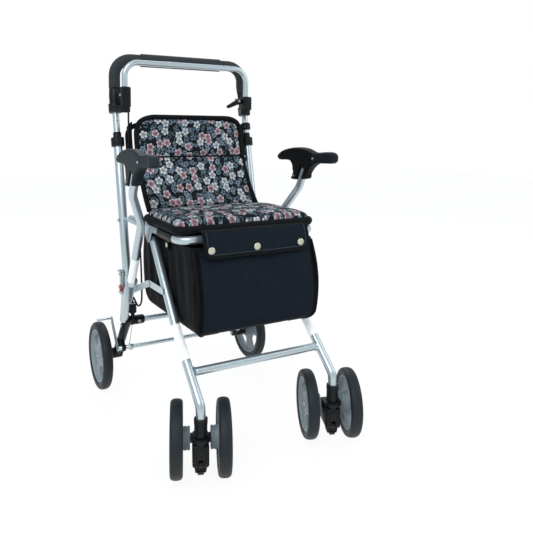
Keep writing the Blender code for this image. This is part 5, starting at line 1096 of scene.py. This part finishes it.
barrel = turn([
    (0.0050, -0.0120), (0.0050, 0), (0.0088, 0), (0.0095, 0.0008), (0.0095, 0.0060), (0.0089, 0.0064),
    (0.0089, 0.0080), (0.0095, 0.0084), (0.0095, 0.0150), (0.0089, 0.0154), (0.0089, 0.0170), (0.0095, 0.0174),
    (0.0095, 0.0220), (0.0088, 0.0230), (0.0072, 0.0232), (0.0072, 0.0249), (0.0066, 0.0255), (0.0026, 0.0255),
], Matrix.Translation(BARREL))
settle(barrel, "cable_adjuster_barrel", black_abs, "rear_frame", "black_plastic", "cable_barrel")
ring = turn([(0.0074, 0.0233), (0.0078, 0.0236), (0.0078, 0.0246), (0.0074, 0.0248)],
            Matrix.Translation(BARREL))
settle(ring, "barrel_steel_ring", steel, "rear_frame", "steel")


# Seat cushion: polyester cloth printed with small flowers, stuffed, over a rolled black edge.
# The cloth's large flowers are about 20 mm across and 28 mm apart, with smaller ones and leaves between them.
def bloom(tree, flat, cell, petals, reach, drift):
    """One layer of a flower print: the mask, the petals' shade, their pale rim and a random value per flower."""
    moved = add(tree, "ShaderNodeVectorMath", {0: flat, 1: (drift, drift * 0.7, 0)}, operation="ADD")
    cells = tree.nodes.new("ShaderNodeTexVoronoi")
    cells.voronoi_dimensions = "2D"
    plug(tree, cells, {"Vector": moved, "Scale": 1 / cell, "Randomness": 0.78})
    out = add(tree, "ShaderNodeVectorMath", {0: moved, 1: cells.outputs["Position"]}, operation="SUBTRACT")
    parts = add(tree, "ShaderNodeSeparateXYZ", {"Vector": out}).node.outputs
    angle = add(tree, "ShaderNodeMath", {0: parts["Y"], 1: parts["X"]}, operation="ARCTAN2")
    chance = add(tree, "ShaderNodeSeparateColor", {"Color": cells.outputs["Color"]}).node.outputs
    turned = add(tree, "ShaderNodeMath", {0: chance["Green"], 1: 2 * math.pi, 2: angle}, operation="MULTIPLY_ADD")
    wave = add(tree, "ShaderNodeMath", {0: turned, 1: petals}, operation="MULTIPLY")
    lobes = add(tree, "ShaderNodeMath", {0: wave}, operation="COSINE")
    edge = add(tree, "ShaderNodeMath", {0: lobes, 1: reach * 0.13, 2: reach * 0.87}, operation="MULTIPLY_ADD")
    length = add(tree, "ShaderNodeVectorMath", {0: out}, operation="LENGTH")
    share = add(tree, "ShaderNodeMath", {0: length.node.outputs["Value"], 1: edge}, operation="DIVIDE")
    mask, gaps, fade, rim = [
        add(tree, "ShaderNodeMapRange", {
            "Value": value, "From Min": start, "From Max": end, "To Min": first, "To Max": last,
        })
        for value, start, end, first, last in (
            (share, 0.94, 1.06, 1.0, 0.0), (lobes, -1.0, -0.55, 0.30, 1.0),
            (share, 0.12, 0.95, 0.42, 1.20), (share, 0.62, 0.92, 0.0, 0.60),
        )
    ]
    rings = add(tree, "ShaderNodeMath", {0: share, 1: 13.0}, operation="MULTIPLY")
    rings = add(tree, "ShaderNodeMath", {0: rings}, operation="COSINE")
    folds = add(tree, "ShaderNodeMath", {0: rings, 1: 0.14, 2: 0.80}, operation="MULTIPLY_ADD")
    shade = add(tree, "ShaderNodeMath", {0: folds, 1: fade}, operation="MULTIPLY")
    shade = add(tree, "ShaderNodeMath", {0: shade, 1: gaps}, operation="MULTIPLY")
    return mask, shade, rim, chance["Red"]


def ramp(tree, value, stops, constant=False):
    """A colour by a value: stops gives (place, sRGB hex)."""
    node = tree.nodes.new("ShaderNodeValToRGB")
    tree.links.new(value, node.inputs["Fac"])
    colours = node.color_ramp
    colours.interpolation = "CONSTANT" if constant else "LINEAR"
    while len(colours.elements) < len(stops):
        colours.elements.new(0.5)
    for element, (place, code) in zip(colours.elements, stops):
        element.position = place
        element.color = linear(code)
    return node.outputs["Color"]


def floral(name, plane, turned):
    """Printed polyester: flowers over leaves on a dark, slightly uneven ground, with the weave of the cloth."""
    made, tree, shader, place = finish(name, {"Roughness": 0.66, "Specular IOR Level": 0.12})
    flat = add(tree, "ShaderNodeMapping", {"Vector": place, "Rotation": turned, "Scale": plane})
    cloth = ramp(tree, add(tree, "ShaderNodeTexNoise", {"Vector": place, "Scale": 160.0, "Detail": 3.0}),
                 [(0.35, "#0b1119"), (0.65, "#141d27")])
    leaves = [(0.0, "#46565b"), (0.26, "#72828a"), (0.52, "#2d3b45"), (0.76, "#5a6b75")]
    blue = [(0.0, "#5d738a"), (0.34, "#7c90a4"), (0.70, "#45586d")]
    white = [(0.0, "#d3d9dc"), (0.32, "#c795a1"), (0.58, "#dbdfe0"), (0.80, "#b98592")]
    for cell, petals, reach, drift, colours, pale in (
        (0.0150, 2.0, 0.0062, 0.031, leaves, "#7d8c94"), (0.0215, 5.0, 0.0062, 0.017, blue, "#a9b8c6"),
        (0.0280, 5.0, 0.0094, 0.0, white, "#f4f6f7"),
    ):
        flower, shade, rim, chance = bloom(tree, flat, cell, petals, reach, drift)
        hue = ramp(tree, chance, colours, True)
        petal = add(tree, "ShaderNodeMix", {0: rim, 6: hue, 7: linear(pale)}, data_type="RGBA")
        drawn = add(tree, "ShaderNodeVectorMath", {0: petal, 3: shade}, operation="SCALE")
        cloth = add(tree, "ShaderNodeMix", {0: flower, 6: cloth, 7: drawn}, data_type="RGBA")
    threads = [
        add(tree, "ShaderNodeTexWave", {"Vector": flat, "Scale": 420.0}, bands_direction=way) for way in ("X", "Y")
    ]
    weave = add(tree, "ShaderNodeMath", {0: threads[0], 1: threads[1]}, operation="ADD")
    bump = add(tree, "ShaderNodeBump", {"Height": weave, "Strength": 0.25, "Distance": 0.0002})
    plug(tree, shader, {"Base Color": cloth, "Normal": bump})
    return made


def round_off(x, y, half_x, half_y, corner):
    """Moves a point of a rectangle so that the rectangle's corners are rounded."""
    past_x, past_y = abs(x) - (half_x - corner), abs(y) - (half_y - corner)
    if past_x <= 0 or past_y <= 0:
        return x, y
    scale = max(past_x, past_y) / math.hypot(past_x, past_y)
    return (math.copysign(half_x - corner + past_x * scale, x), math.copysign(half_y - corner + past_y * scale, y))


def grid(across, lengthwise):
    """A flat grid from -1 to 1 both ways, whose points are then laid on a piece's surface."""
    bpy.ops.object.select_all(action="DESELECT")
    bpy.ops.mesh.primitive_grid_add(x_subdivisions=across, y_subdivisions=lengthwise, size=2)
    return bpy.context.object


def pad(across, lengthwise, place):
    """A padded sheet: place gives a point from u and v in -1 to 1 and whether it is on top."""
    piece = grid(across, lengthwise)
    bpy.ops.object.mode_set(mode="EDIT")
    bpy.ops.mesh.select_all(action="SELECT")
    bpy.ops.mesh.extrude_region_move(TRANSFORM_OT_translate={"value": (0, 0, 1)})
    bpy.ops.object.mode_set(mode="OBJECT")
    for corner in piece.data.vertices:
        corner.co = place(corner.co.x, corner.co.y, corner.co.z > 0.5)
    only(piece)
    bpy.ops.object.mode_set(mode="EDIT")
    face_outwards()
    return piece


def stuffed(piece, voxel, pressure, most):
    """Stuffs a pad: its cloth is blown out by pressure, and no point moves farther than the given distance."""
    remeshed(piece, voxel)
    before = [corner.co.copy() for corner in piece.data.vertices]
    bpy.context.scene.frame_set(1)
    cloth = piece.modifiers.new("stuffing", "CLOTH")
    cloth.settings.use_pressure = True
    cloth.settings.uniform_pressure_force = pressure
    cloth.settings.effector_weights.gravity = 0
    for step in range(1, 21):
        bpy.context.scene.frame_set(step)
    apply_modifiers(piece)
    bpy.context.scene.frame_set(1)
    for corner, start in zip(piece.data.vertices, before):
        moved = corner.co - start
        if moved.length > most:
            corner.co = start + moved * (most / moved.length)
    smoothing = piece.modifiers.new("smoothing", "SMOOTH")
    smoothing.factor = 0.5
    smoothing.iterations = 3
    finer = piece.modifiers.new("finer", "SUBSURF")
    finer.levels = 1
    finer.render_levels = 1
    apply_modifiers(piece)
    return piece


# Black polyester tape: a ribbed weave of about 1 mm, sewn on as binding, dull with a faint sheen.
tape, tree, shader, place = finish("black_ribbed_tape", {"Roughness": 0.66, "Specular IOR Level": 0.12})
ribs = {"Vector": place, "Scale": 300.0, "Distortion": 0.4}
ribs = add(tree, "ShaderNodeTexWave", ribs, bands_direction="DIAGONAL")
worn = add(tree, "ShaderNodeTexNoise", {"Vector": place, "Scale": 120.0, "Detail": 3.0})
colour = add(tree, "ShaderNodeMix", {0: worn, 6: linear("#080b0e"), 7: linear("#101418")}, data_type="RGBA")
bump = add(tree, "ShaderNodeBump", {"Height": ribs, "Strength": 0.35, "Distance": 0.0003})
plug(tree, shader, {"Base Color": colour, "Normal": bump})

CUSHION_Z, EDGE_R = BOARD_Z + 0.0085, 0.0088


def seat_plan(u, v, inset, corner):
    """A place on the seat seen from above, for u and v in -1 to 1, within its outline less an inset."""
    half_x, half_y = SEAT_HALF_W - inset, (SEAT_Y[1] - SEAT_Y[0]) / 2 - inset
    x, y = round_off(u * half_x, v * half_y, half_x, half_y, corner)
    return x, sum(SEAT_Y) / 2 + y


def seat_place(u, v, top):
    """A point of the seat's pad, higher towards the middle of its top."""
    crown = (1 - u ** 4) * (1 - v ** 4)
    z = CUSHION_Z + (0.0150 + 0.0080 * crown if top else 0.0005)
    return Vector((*seat_plan(u, v, EDGE_R - 0.0010, 0.020), z))


cushion = stuffed(pad(34, 22, seat_place), 0.005, 2.0, 0.0045)
for corner in cushion.data.vertices:
    corner.co.z = max(corner.co.z, CUSHION_Z)
print_flat = floral("printed_polyester_seat", (1, 1, 0), (0, 0, 0))
settle(cushion, "stuffed_seat_cushion", print_flat, "seat_frame", "seat_cloth", "seat_cushion")
rim = []
for k in range(160):
    share = k / 160 * 4
    t = 2 * (share % 1) - 1
    u, v = ((t, -1), (1, t), (-t, 1), (-1, -t))[int(share)]
    rim.append((*seat_plan(u, v, EDGE_R, 0.018), BOARD_Z + 0.0095))
roll = wire(rim, EDGE_R, True)
settle(roll, "rolled_seat_edge", tape, "seat_frame", "seat_cloth")


# Backrest hoop: a bent aluminium rod between the posts, sleeved in the black tape that edges the backrest.
# It is drawn and bent like the posts, and its feet turn outwards to meet them.
HOOP_HALF_W, HOOP_FOOT_Z, HOOP_TOP_Z = 0.156, 0.600, 0.690
end = POST_X - POST_R - 0.0003
low_y, high_y = post_y(HOOP_FOOT_Z), post_y(HOOP_TOP_Z)
route = [
    (-end, low_y, HOOP_FOOT_Z), (-HOOP_HALF_W, low_y, HOOP_FOOT_Z), (-HOOP_HALF_W, high_y, HOOP_TOP_Z),
    (HOOP_HALF_W, high_y, HOOP_TOP_Z), (HOOP_HALF_W, low_y, HOOP_FOOT_Z), (end, low_y, HOOP_FOOT_Z),
]
foot_turn = (end - HOOP_HALF_W) * 0.70
hoop = bend_tube(route, [foot_turn, 0.030, 0.030, foot_turn], 0.0060, 28)
settle(hoop, "bent_backrest_hoop", tape, "rear_frame", "silver", "backrest_hoop")


# Backrest: the same printed cloth over a stuffed pad, drawn in by one sewn channel and bound in black tape.
# It curves from the seat up to the hoop, where it is sleeved over the rod.
def back_curve(share):
    """The backrest's side view: the point and the front's direction at a share of the way up."""
    a, b, c, d = [in_middle(place) for place in BACK_CURVE]
    t, w = share, 1 - share
    point = a * w ** 3 + 3 * b * w * w * t + 3 * c * w * t * t + d * t ** 3
    ahead = ((b - a) * w * w + 2 * (c - b) * w * t + (d - c) * t * t).normalized()
    return point, Vector((0, -ahead.z, ahead.y))


BACK_CURVE = ((0.0590, 0.4930), (0.1130, 0.5450), (0.1720, 0.6480), (0.1480, 0.7090))
BACK_HALF_W, BACK_TOP_HALF_W, ROUND_FROM = 0.1480, 0.118, 0.80
CHANNEL_AT, CHANNEL_HALF, CHANNEL_DEPTH = 0.56, 0.0085, 0.0078


def back_half(share):
    """The backrest's half width at a share of the way up, with round upper corners."""
    rise = max(0.0, (share - ROUND_FROM) / (1 - ROUND_FROM))
    return BACK_HALF_W + (BACK_TOP_HALF_W - BACK_HALF_W) * (1 - math.sqrt(1 - min(1.0, rise) ** 2))


def back_place(u, v, top):
    """A point of the backrest's pad, which is fuller in front and behind towards its middle."""
    share = (v + 1) / 2
    point, front = back_curve(share)
    puff = (1 - u ** 4) * (1 - v ** 4)
    depth = 0.0035 * puff - 0.0010 if top else -0.0090 - 0.0060 * puff
    return point + Vector((u * (back_half(share) - 0.0030), 0, 0)) + front * depth


backrest = stuffed(pad(30, 30, back_place), 0.004, 2.5, 0.0045)
seam, seam_front = back_curve(CHANNEL_AT)
seam_up = Vector((0, seam_front.z, -seam_front.y))
steps = [back_curve(k / 40) for k in range(41)]
for corner in backrest.data.vertices:
    middle, front = min(steps, key=lambda step: (step[0] - in_middle(corner.co.yz)).length)
    off = (corner.co - seam).dot(seam_up)
    way = 1 if (corner.co - middle).dot(front) > -0.0040 else -1
    sewn = math.exp(-abs(off / CHANNEL_HALF) ** 1.4) * (1 - (corner.co.x / BACK_HALF_W) ** 6)
    corner.co -= front * (way * CHANNEL_DEPTH * sewn)
print_up = floral("printed_polyester_backrest", (1, 0, 1), (math.pi / 2, 0, 0))
settle(backrest, "stuffed_backrest", print_up, "backrest", "seat_cloth", "backrest_cushion")

# The cover's sides reach back to the hoop as two stiff cloth wings, and a dark line of tape lies in the sewn
# channel as painted shade.
wing = [back_curve(CHANNEL_AT + 0.38 * k / 8)[0] for k in range(9)]
wing = [(point.y + 0.0060, point.z) for point in wing]
wing += [(post_y(z) - 0.0010, z) for z in (0.6850, 0.6700, 0.6500, 0.6300, 0.6100)]
for name, side in SIDES.items():
    flank = slab(wing, side * 0.1552, 0.0022, (0.0008, 0.0008), 2)
    settle(flank, f"backrest_wing_{name}", tape, "rear_frame", "seat_cloth")
# This black line is painted shade: it darkens the channel where the drawn-in cloth would be shaded.
line = [seam + Vector(((k / 20 - 1) * (BACK_HALF_W - 0.0060), 0, 0)) + seam_front * 0.0008 for k in range(41)]
settle(wire(line, 0.0018), "channel_painted_shade_line", tape, "backrest", "seat_cloth")

# The backrest's binding follows the pad's edge up one side, over the top and down the other.
# A blank oval plate of moulded PVC is fixed near its top.
edge = []
for k in range(161):
    t = k / 160 * 3
    u, v = ((-1, 2 * t - 1), (2 * t - 3, 1), (1, 5 - 2 * t))[min(2, int(t))]
    u, v = round_off(u, v, 1, 1, 0.16) if v > 0 else (u, v)
    share = (v + 1) / 2
    middle, front = back_curve(share)
    edge.append(middle + Vector((u * (back_half(share) - 0.0044), 0, 0)) - front * 0.0040)
binding = wire(edge, 0.0060)
settle(binding, "backrest_binding", tape, "backrest", "seat_cloth")
BADGE_AT, BADGE_X = 0.76, 0.0102
middle, front = back_curve(BADGE_AT)
badge = turn([(0.0355, -0.0050), (0.0355, 0.0010), (0.0348, 0.0018), (0.0326, 0.0022), (0.0310, 0.0017),
              (0.0060, 0.0017)], along(front, middle + Vector((BADGE_X, 0, 0)) + front * 0.0042))
badge.matrix_world = badge.matrix_world @ Matrix.Diagonal((1, 0.60, 1, 1))
# Moulded PVC: dark grey, with a soft gloss and a fine grain.
badge_grey, tree, shader, place = finish("dark_grey_moulded_pvc", {
    "Base Color": linear("#1a2025"), "Roughness": 0.36,
})
grain = add(tree, "ShaderNodeTexNoise", {"Vector": place, "Scale": 900.0})
bump = add(tree, "ShaderNodeBump", {"Height": grain, "Strength": 0.1, "Distance": 0.0002})
plug(tree, shader, {"Normal": bump})
settle(badge, "blank_oval_plate", badge_grey, "backrest", "seat_cloth")


# Bag: a sewn shell of black oxford cloth under the seat, with a navy front and bound edges.
# It is lofted in rings from its rim to its bottom. The front bulges, and the sides fall in soft pleats.
def oxford(name, low, high):
    """Coated oxford cloth between two dark colours: a plain weave, drawn 1.5 mm apart, and almost matt."""
    made, tree, shader, place = finish(name, {"Specular IOR Level": 0.08})
    threads = [
        add(tree, "ShaderNodeTexWave", {"Vector": place, "Scale": 210.0, "Distortion": 0.3}, bands_direction=way)
        for way in ("X", "Y", "Z")
    ]
    pair = add(tree, "ShaderNodeMath", {0: threads[0], 1: threads[1]}, operation="ADD")
    weave = add(tree, "ShaderNodeMath", {0: pair, 1: threads[2]}, operation="ADD")
    worn = add(tree, "ShaderNodeTexNoise", {"Vector": place, "Scale": 45.0, "Detail": 4.0})
    colour = add(tree, "ShaderNodeMix", {0: worn, 6: linear(low), 7: linear(high)}, data_type="RGBA")
    rough = add(tree, "ShaderNodeMapRange", {"Value": worn, "To Min": 0.50, "To Max": 0.68})
    bump = add(tree, "ShaderNodeBump", {"Height": weave, "Strength": 0.20, "Distance": 0.0003})
    plug(tree, shader, {"Base Color": colour, "Roughness": rough, "Normal": bump})
    return made


navy = oxford("navy_coated_oxford", "#10171f", "#18212b")
black_cloth = oxford("black_coated_oxford", "#030508", "#06090c")
BAG_HALF_W, BAG_TOP_Z = 0.1425, SEAT_Z - RAIL_R - 0.003
BAG_FRONT = ((-0.186, BAG_TOP_Z), (-0.2125, 0.340), (-0.205, 0.271))
BAG_BACK_Y, BAG_HEEL, BAG_CORNER, BAG_ROUND = 0.111, (0.080, 0.261), 0.0120, 0.0240
WALL_SHARE, ROUND_SHARE, PLEAT_PITCH = 0.80, 0.45, 0.046


def bag_front_y(z):
    """The front panel's place in the side view: bowed out between the rim, the bulge and the toe."""
    (y0, z0), (y1, z1), (y2, z2) = BAG_FRONT
    return (y0 * (z - z1) * (z - z2) / ((z0 - z1) * (z0 - z2))
            + y1 * (z - z0) * (z - z2) / ((z1 - z0) * (z1 - z2))
            + y2 * (z - z0) * (z - z1) / ((z2 - z0) * (z2 - z1)))


def bag_floor_z(y):
    """The bottom panel's height, with a soft rise towards the heel."""
    toe, heel = BAG_FRONT[2], BAG_HEEL
    rise = max(0.0, (y - heel[0]) / (BAG_BACK_Y - heel[0]))
    return toe[1] + (heel[1] - toe[1]) * (y - toe[0]) / (heel[0] - toe[0]) + 0.029 * rise * rise


def bag_point(around, down):
    """A point of the bag: around is 0 to 4 from the front's left corner, and down is 0 at the rim and 1 below."""
    side, t = int(around) % 4, around % 1
    wall = min(1.0, down / WALL_SHARE)
    under = max(0.0, (down - WALL_SHARE) / 0.20)
    front = bag_front_y(BAG_TOP_Z + (BAG_FRONT[2][1] + BAG_ROUND - BAG_TOP_Z) * wall)
    half_y, mid_y = (BAG_BACK_Y - front) / 2, (BAG_BACK_Y + front) / 2
    x, y = ((2 * t - 1, -1), (1, 2 * t - 1), (1 - 2 * t, 1), (-1, 1 - 2 * t))[side]
    x, y = round_off(x * BAG_HALF_W, y * half_y, BAG_HALF_W, half_y, BAG_CORNER)
    y += mid_y
    high = math.sin(math.pi * min(1.0, wall))
    swell = high * (1 - under)
    if side in (1, 3):
        pleat = math.sin((y - front) / PLEAT_PITCH * 2 * math.pi) * math.sin(math.pi * t) ** 0.5
        x += math.copysign(0.0028 * pleat * (0.35 + 0.65 * high) * (1 - under) - 0.0030 * swell, x)
    elif side == 0:
        y += (0.0016 * swell * math.sin(x * 46 + 0.8 * math.sin(down * 9))
              + 0.0010 * swell * math.sin(x * 95 + down * 6))
    else:
        y += 0.0020 * swell * math.sin(x * 60)
    z = BAG_TOP_Z + (bag_floor_z(y) + BAG_ROUND - BAG_TOP_Z) * wall
    if under > 0:
        turned = min(1.0, under / ROUND_SHARE) * math.pi / 2
        inset = BAG_ROUND * (1 - math.cos(turned))
        z -= BAG_ROUND * math.sin(turned)
        past = max(0.0, (under - ROUND_SHARE) / 0.55)
        x *= (1 - inset / BAG_HALF_W) * (1 - past)
        y = mid_y + (y - mid_y) * (1 - inset / half_y)
    return Vector((x, y, z))


def walled(piece, offset):
    """Closes the faces of the cloth in edit mode outwards, and gives it a wall of 2 mm."""
    face_outwards()
    wall = piece.modifiers.new("wall", "SOLIDIFY")
    wall.thickness = 0.0020
    wall.offset = offset
    apply_modifiers(piece)


AROUND, DOWN, NAVY_MARGIN, NAVY_FOOT_Z = 168, 64, 0.0165, 0.262
bag = grid(AROUND, DOWN)
for corner in bag.data.vertices:
    corner.co = bag_point((corner.co.x + 1) * 2 % 4, (1 - corner.co.y) / 2)
only(bag)
bpy.ops.object.mode_set(mode="EDIT")
bpy.ops.mesh.select_all(action="SELECT")
bpy.ops.mesh.remove_doubles(threshold=0.00005)
walled(bag, -1)
settle(bag, "sewn_oxford_bag", black_cloth, "rear_frame", "bag_cloth", "bag", smooth=math.radians(50))
bag.data.materials.append(navy)
for face in bag.data.polygons:
    centre = face.center - SHIFT
    in_front = centre.y < bag_front_y(max(centre.z, BAG_FRONT[2][1])) + 0.0100
    face.material_index = int(
        in_front and abs(centre.x) < BAG_HALF_W - NAVY_MARGIN and centre.z > NAVY_FOOT_Z)


def crumple(piece):
    """Gives a piece of the bag a mesh of its own."""
    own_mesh(piece)


crumple(bag)
for name, side in SIDES.items():
    corner = 0.0 if side < 0 else 1.0
    out = Vector((side * 0.0004, -0.0006, 0))
    edging = wire([bag_point(corner, 0.02 + 0.90 * k / 60) + out for k in range(61)], 0.0034)
    crumple(settle(edging, f"bag_front_binding_{name}", tape, "rear_frame", "bag_cloth"))
rim = wire([bag_point(4 * k / AROUND % 4, 0.0) + Vector((0, 0, -0.0020)) for k in range(AROUND)], 0.0026, True)
crumple(settle(rim, "bag_rim_binding", tape, "rear_frame", "bag_cloth"))


# Flap: a bound panel of navy oxford cloth that hangs over the bag's front from a yoke of tape at the seat's edge.
# Its border is stitched, and three snaps close it onto the bag. The yoke turns with the seat.
FLAP_HALF_W, FLAP_TOP, FLAP_FOOT_Z, FLAP_CORNER = 0.1225, (-0.1915, 0.4790), 0.4275, 0.0180
FLAP_HEIGHT, BORDER, SEAM_IN = FLAP_TOP[1] - FLAP_FOOT_Z, 0.0062, 0.0075
SNAP_X, SNAP_Z = (-0.1085, -0.0055, 0.1008), 0.4440


def flap_point(x, down):
    """The flap's middle surface: it falls from the hinge, leans out a little and waves softly near its foot."""
    y = FLAP_TOP[0] - 0.0125 * math.sin(down * math.pi / 2) - 0.0012 * down * math.sin(x * 52 + 0.6)
    return Vector((x, y, FLAP_TOP[1] - FLAP_HEIGHT * down))


flap = grid(96, 30)
for corner in flap.data.vertices:
    x, down = corner.co.x * FLAP_HALF_W, (1 - corner.co.y) / 2
    if down > 0.5:
        x, low = round_off(x, down * FLAP_HEIGHT, FLAP_HALF_W, FLAP_HEIGHT, FLAP_CORNER)
        down = low / FLAP_HEIGHT
    corner.co = flap_point(x, down)
only(flap)
bpy.ops.object.mode_set(mode="EDIT")
walled(flap, 0)
settle(flap, "navy_oxford_flap", navy, "bag_flap", "bag_cloth", "bag_flap")
flap.data.materials.append(tape)
for face in flap.data.polygons:
    centre = face.center - SHIFT
    face.material_index = int(FLAP_HALF_W - abs(centre.x) < BORDER or centre.z - FLAP_FOOT_Z < BORDER)

# The hem and the stitching run down one side, along the foot and up the other side.
hem, stitches, whole = [], [], 2 * FLAP_HEIGHT + 2 * FLAP_HALF_W
for k in range(121):
    t = k / 120 * whole
    x, low = min(max(t - FLAP_HEIGHT, 0), 2 * FLAP_HALF_W) - FLAP_HALF_W, min(t, FLAP_HEIGHT, whole - t)
    if low > FLAP_HEIGHT / 2:
        x, low = round_off(x, low, FLAP_HALF_W, FLAP_HEIGHT, FLAP_CORNER)
    hem.append(flap_point(x, low / FLAP_HEIGHT))
    inner = flap_point(x * (1 - SEAM_IN / FLAP_HALF_W), low / FLAP_HEIGHT * (1 - SEAM_IN / FLAP_HEIGHT))
    stitches.append(inner - Vector((0, 0.0010, 0)))
hem = settle(wire(hem, 0.0016), "flap_hem", tape, "bag_flap", "bag_cloth")

# Thread: grey spun polyester, whose twist is drawn coarser than the real one so that it shows.
thread, tree, shader, place = finish("grey_polyester_thread", {"Base Color": linear("#3d454d"), "Roughness": 0.7})
twist = add(tree, "ShaderNodeTexWave", {"Vector": place, "Scale": 260.0}, bands_direction="X")
bump = add(tree, "ShaderNodeBump", {"Height": twist, "Strength": 0.3, "Distance": 0.0003})
plug(tree, shader, {"Normal": bump})
stitches = settle(wire(stitches, 0.0005), "flap_stitching", thread, "bag_flap", "bag_cloth")

# Snaps: pressed caps plated in a pale cream metal, with a fine unevenness in the plating.
snap_metal, tree, shader, place = finish("cream_plated_snap", {
    "Base Color": linear("#cfcfb8"), "Metallic": 0.7, "Roughness": 0.32,
})
spots = add(tree, "ShaderNodeTexNoise", {"Vector": place, "Scale": 500.0})
rough = add(tree, "ShaderNodeMapRange", {"Value": spots, "To Min": 0.24, "To Max": 0.42})
plug(tree, shader, {"Roughness": rough})
snaps = []
for x in SNAP_X:
    at = flap_point(x, (FLAP_TOP[1] - SNAP_Z) / FLAP_HEIGHT) - Vector((0, 0.0008, 0))
    snaps.append(turn([
        (0.0074, 0), (0.0076, 0.0008), (0.0070, 0.0016), (0.0058, 0.0014), (0.0052, 0.0020), (0.0036, 0.0028),
        (0.0012, 0.0031),
    ], along((0, -1, 0), at), 28))
snaps = settle(joined(snaps), "flap_snaps", snap_metal, "bag_flap", "bag_cloth")
yoke = bevel(block((-FLAP_HALF_W, FLAP_TOP[0] - 0.0008, 0.4779), (FLAP_HALF_W, -0.1630, 0.4798)), 0.0006, 2)
settle(yoke, "flap_yoke", tape, "seat_frame", "seat_cloth")


# Side strap: a short tape from the seat's wrap down the bag's left side, closed by one snap.
# Both are sewn to the bag.
strap = bevel(block((-0.1482, -0.0720, 0.4240), (-0.1466, -0.0530, 0.4520)), 0.0005, 1)
crumple(settle(strap, "side_strap", tape, "rear_frame", "bag_cloth"))
snap = turn([(0.0056, 0), (0.0058, 0.0006), (0.0052, 0.0014), (0.0038, 0.0016), (0.0012, 0.0024)],
            along((-1, 0, 0), (-0.1480, -0.0620, 0.4340)), 24)
crumple(settle(snap, "side_strap_snap", snap_metal, "rear_frame", "bag_cloth"))


# Pull wire: the brake cable's bare steel end, from under the clamp to the cross bar's collar.
wire_foot = Vector((BARREL.x, TORSION[0] + 0.0010, TORSION[1] + 0.0070))
wire_top = Vector((BARREL.x, 0.1535, 0.1925))
pull = wire([wire_top, wire_top.lerp(wire_foot, 0.5), wire_foot], 0.0009)
settle(pull, "brake_pull_wire", steel, None, "steel")
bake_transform(pull)

# Spring button: a small steel button that stands out of the handle's left tube and sets its height.
# It is turned, with a round edge.
BUTTON_Z = 0.700
button = turn([(0.0030, 0), (0.0030, 0.0014), (0.0024, 0.0022), (0.0010, 0.0025)],
              along((0, -1, 0), (-POST_X, post_y(BUTTON_Z) - 0.0076, BUTTON_Z)), 20)
settle(button, "spring_button", steel, "handle", "steel")


bpy.data.objects.remove(bolt_pattern, do_unlink=True)
low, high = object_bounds()
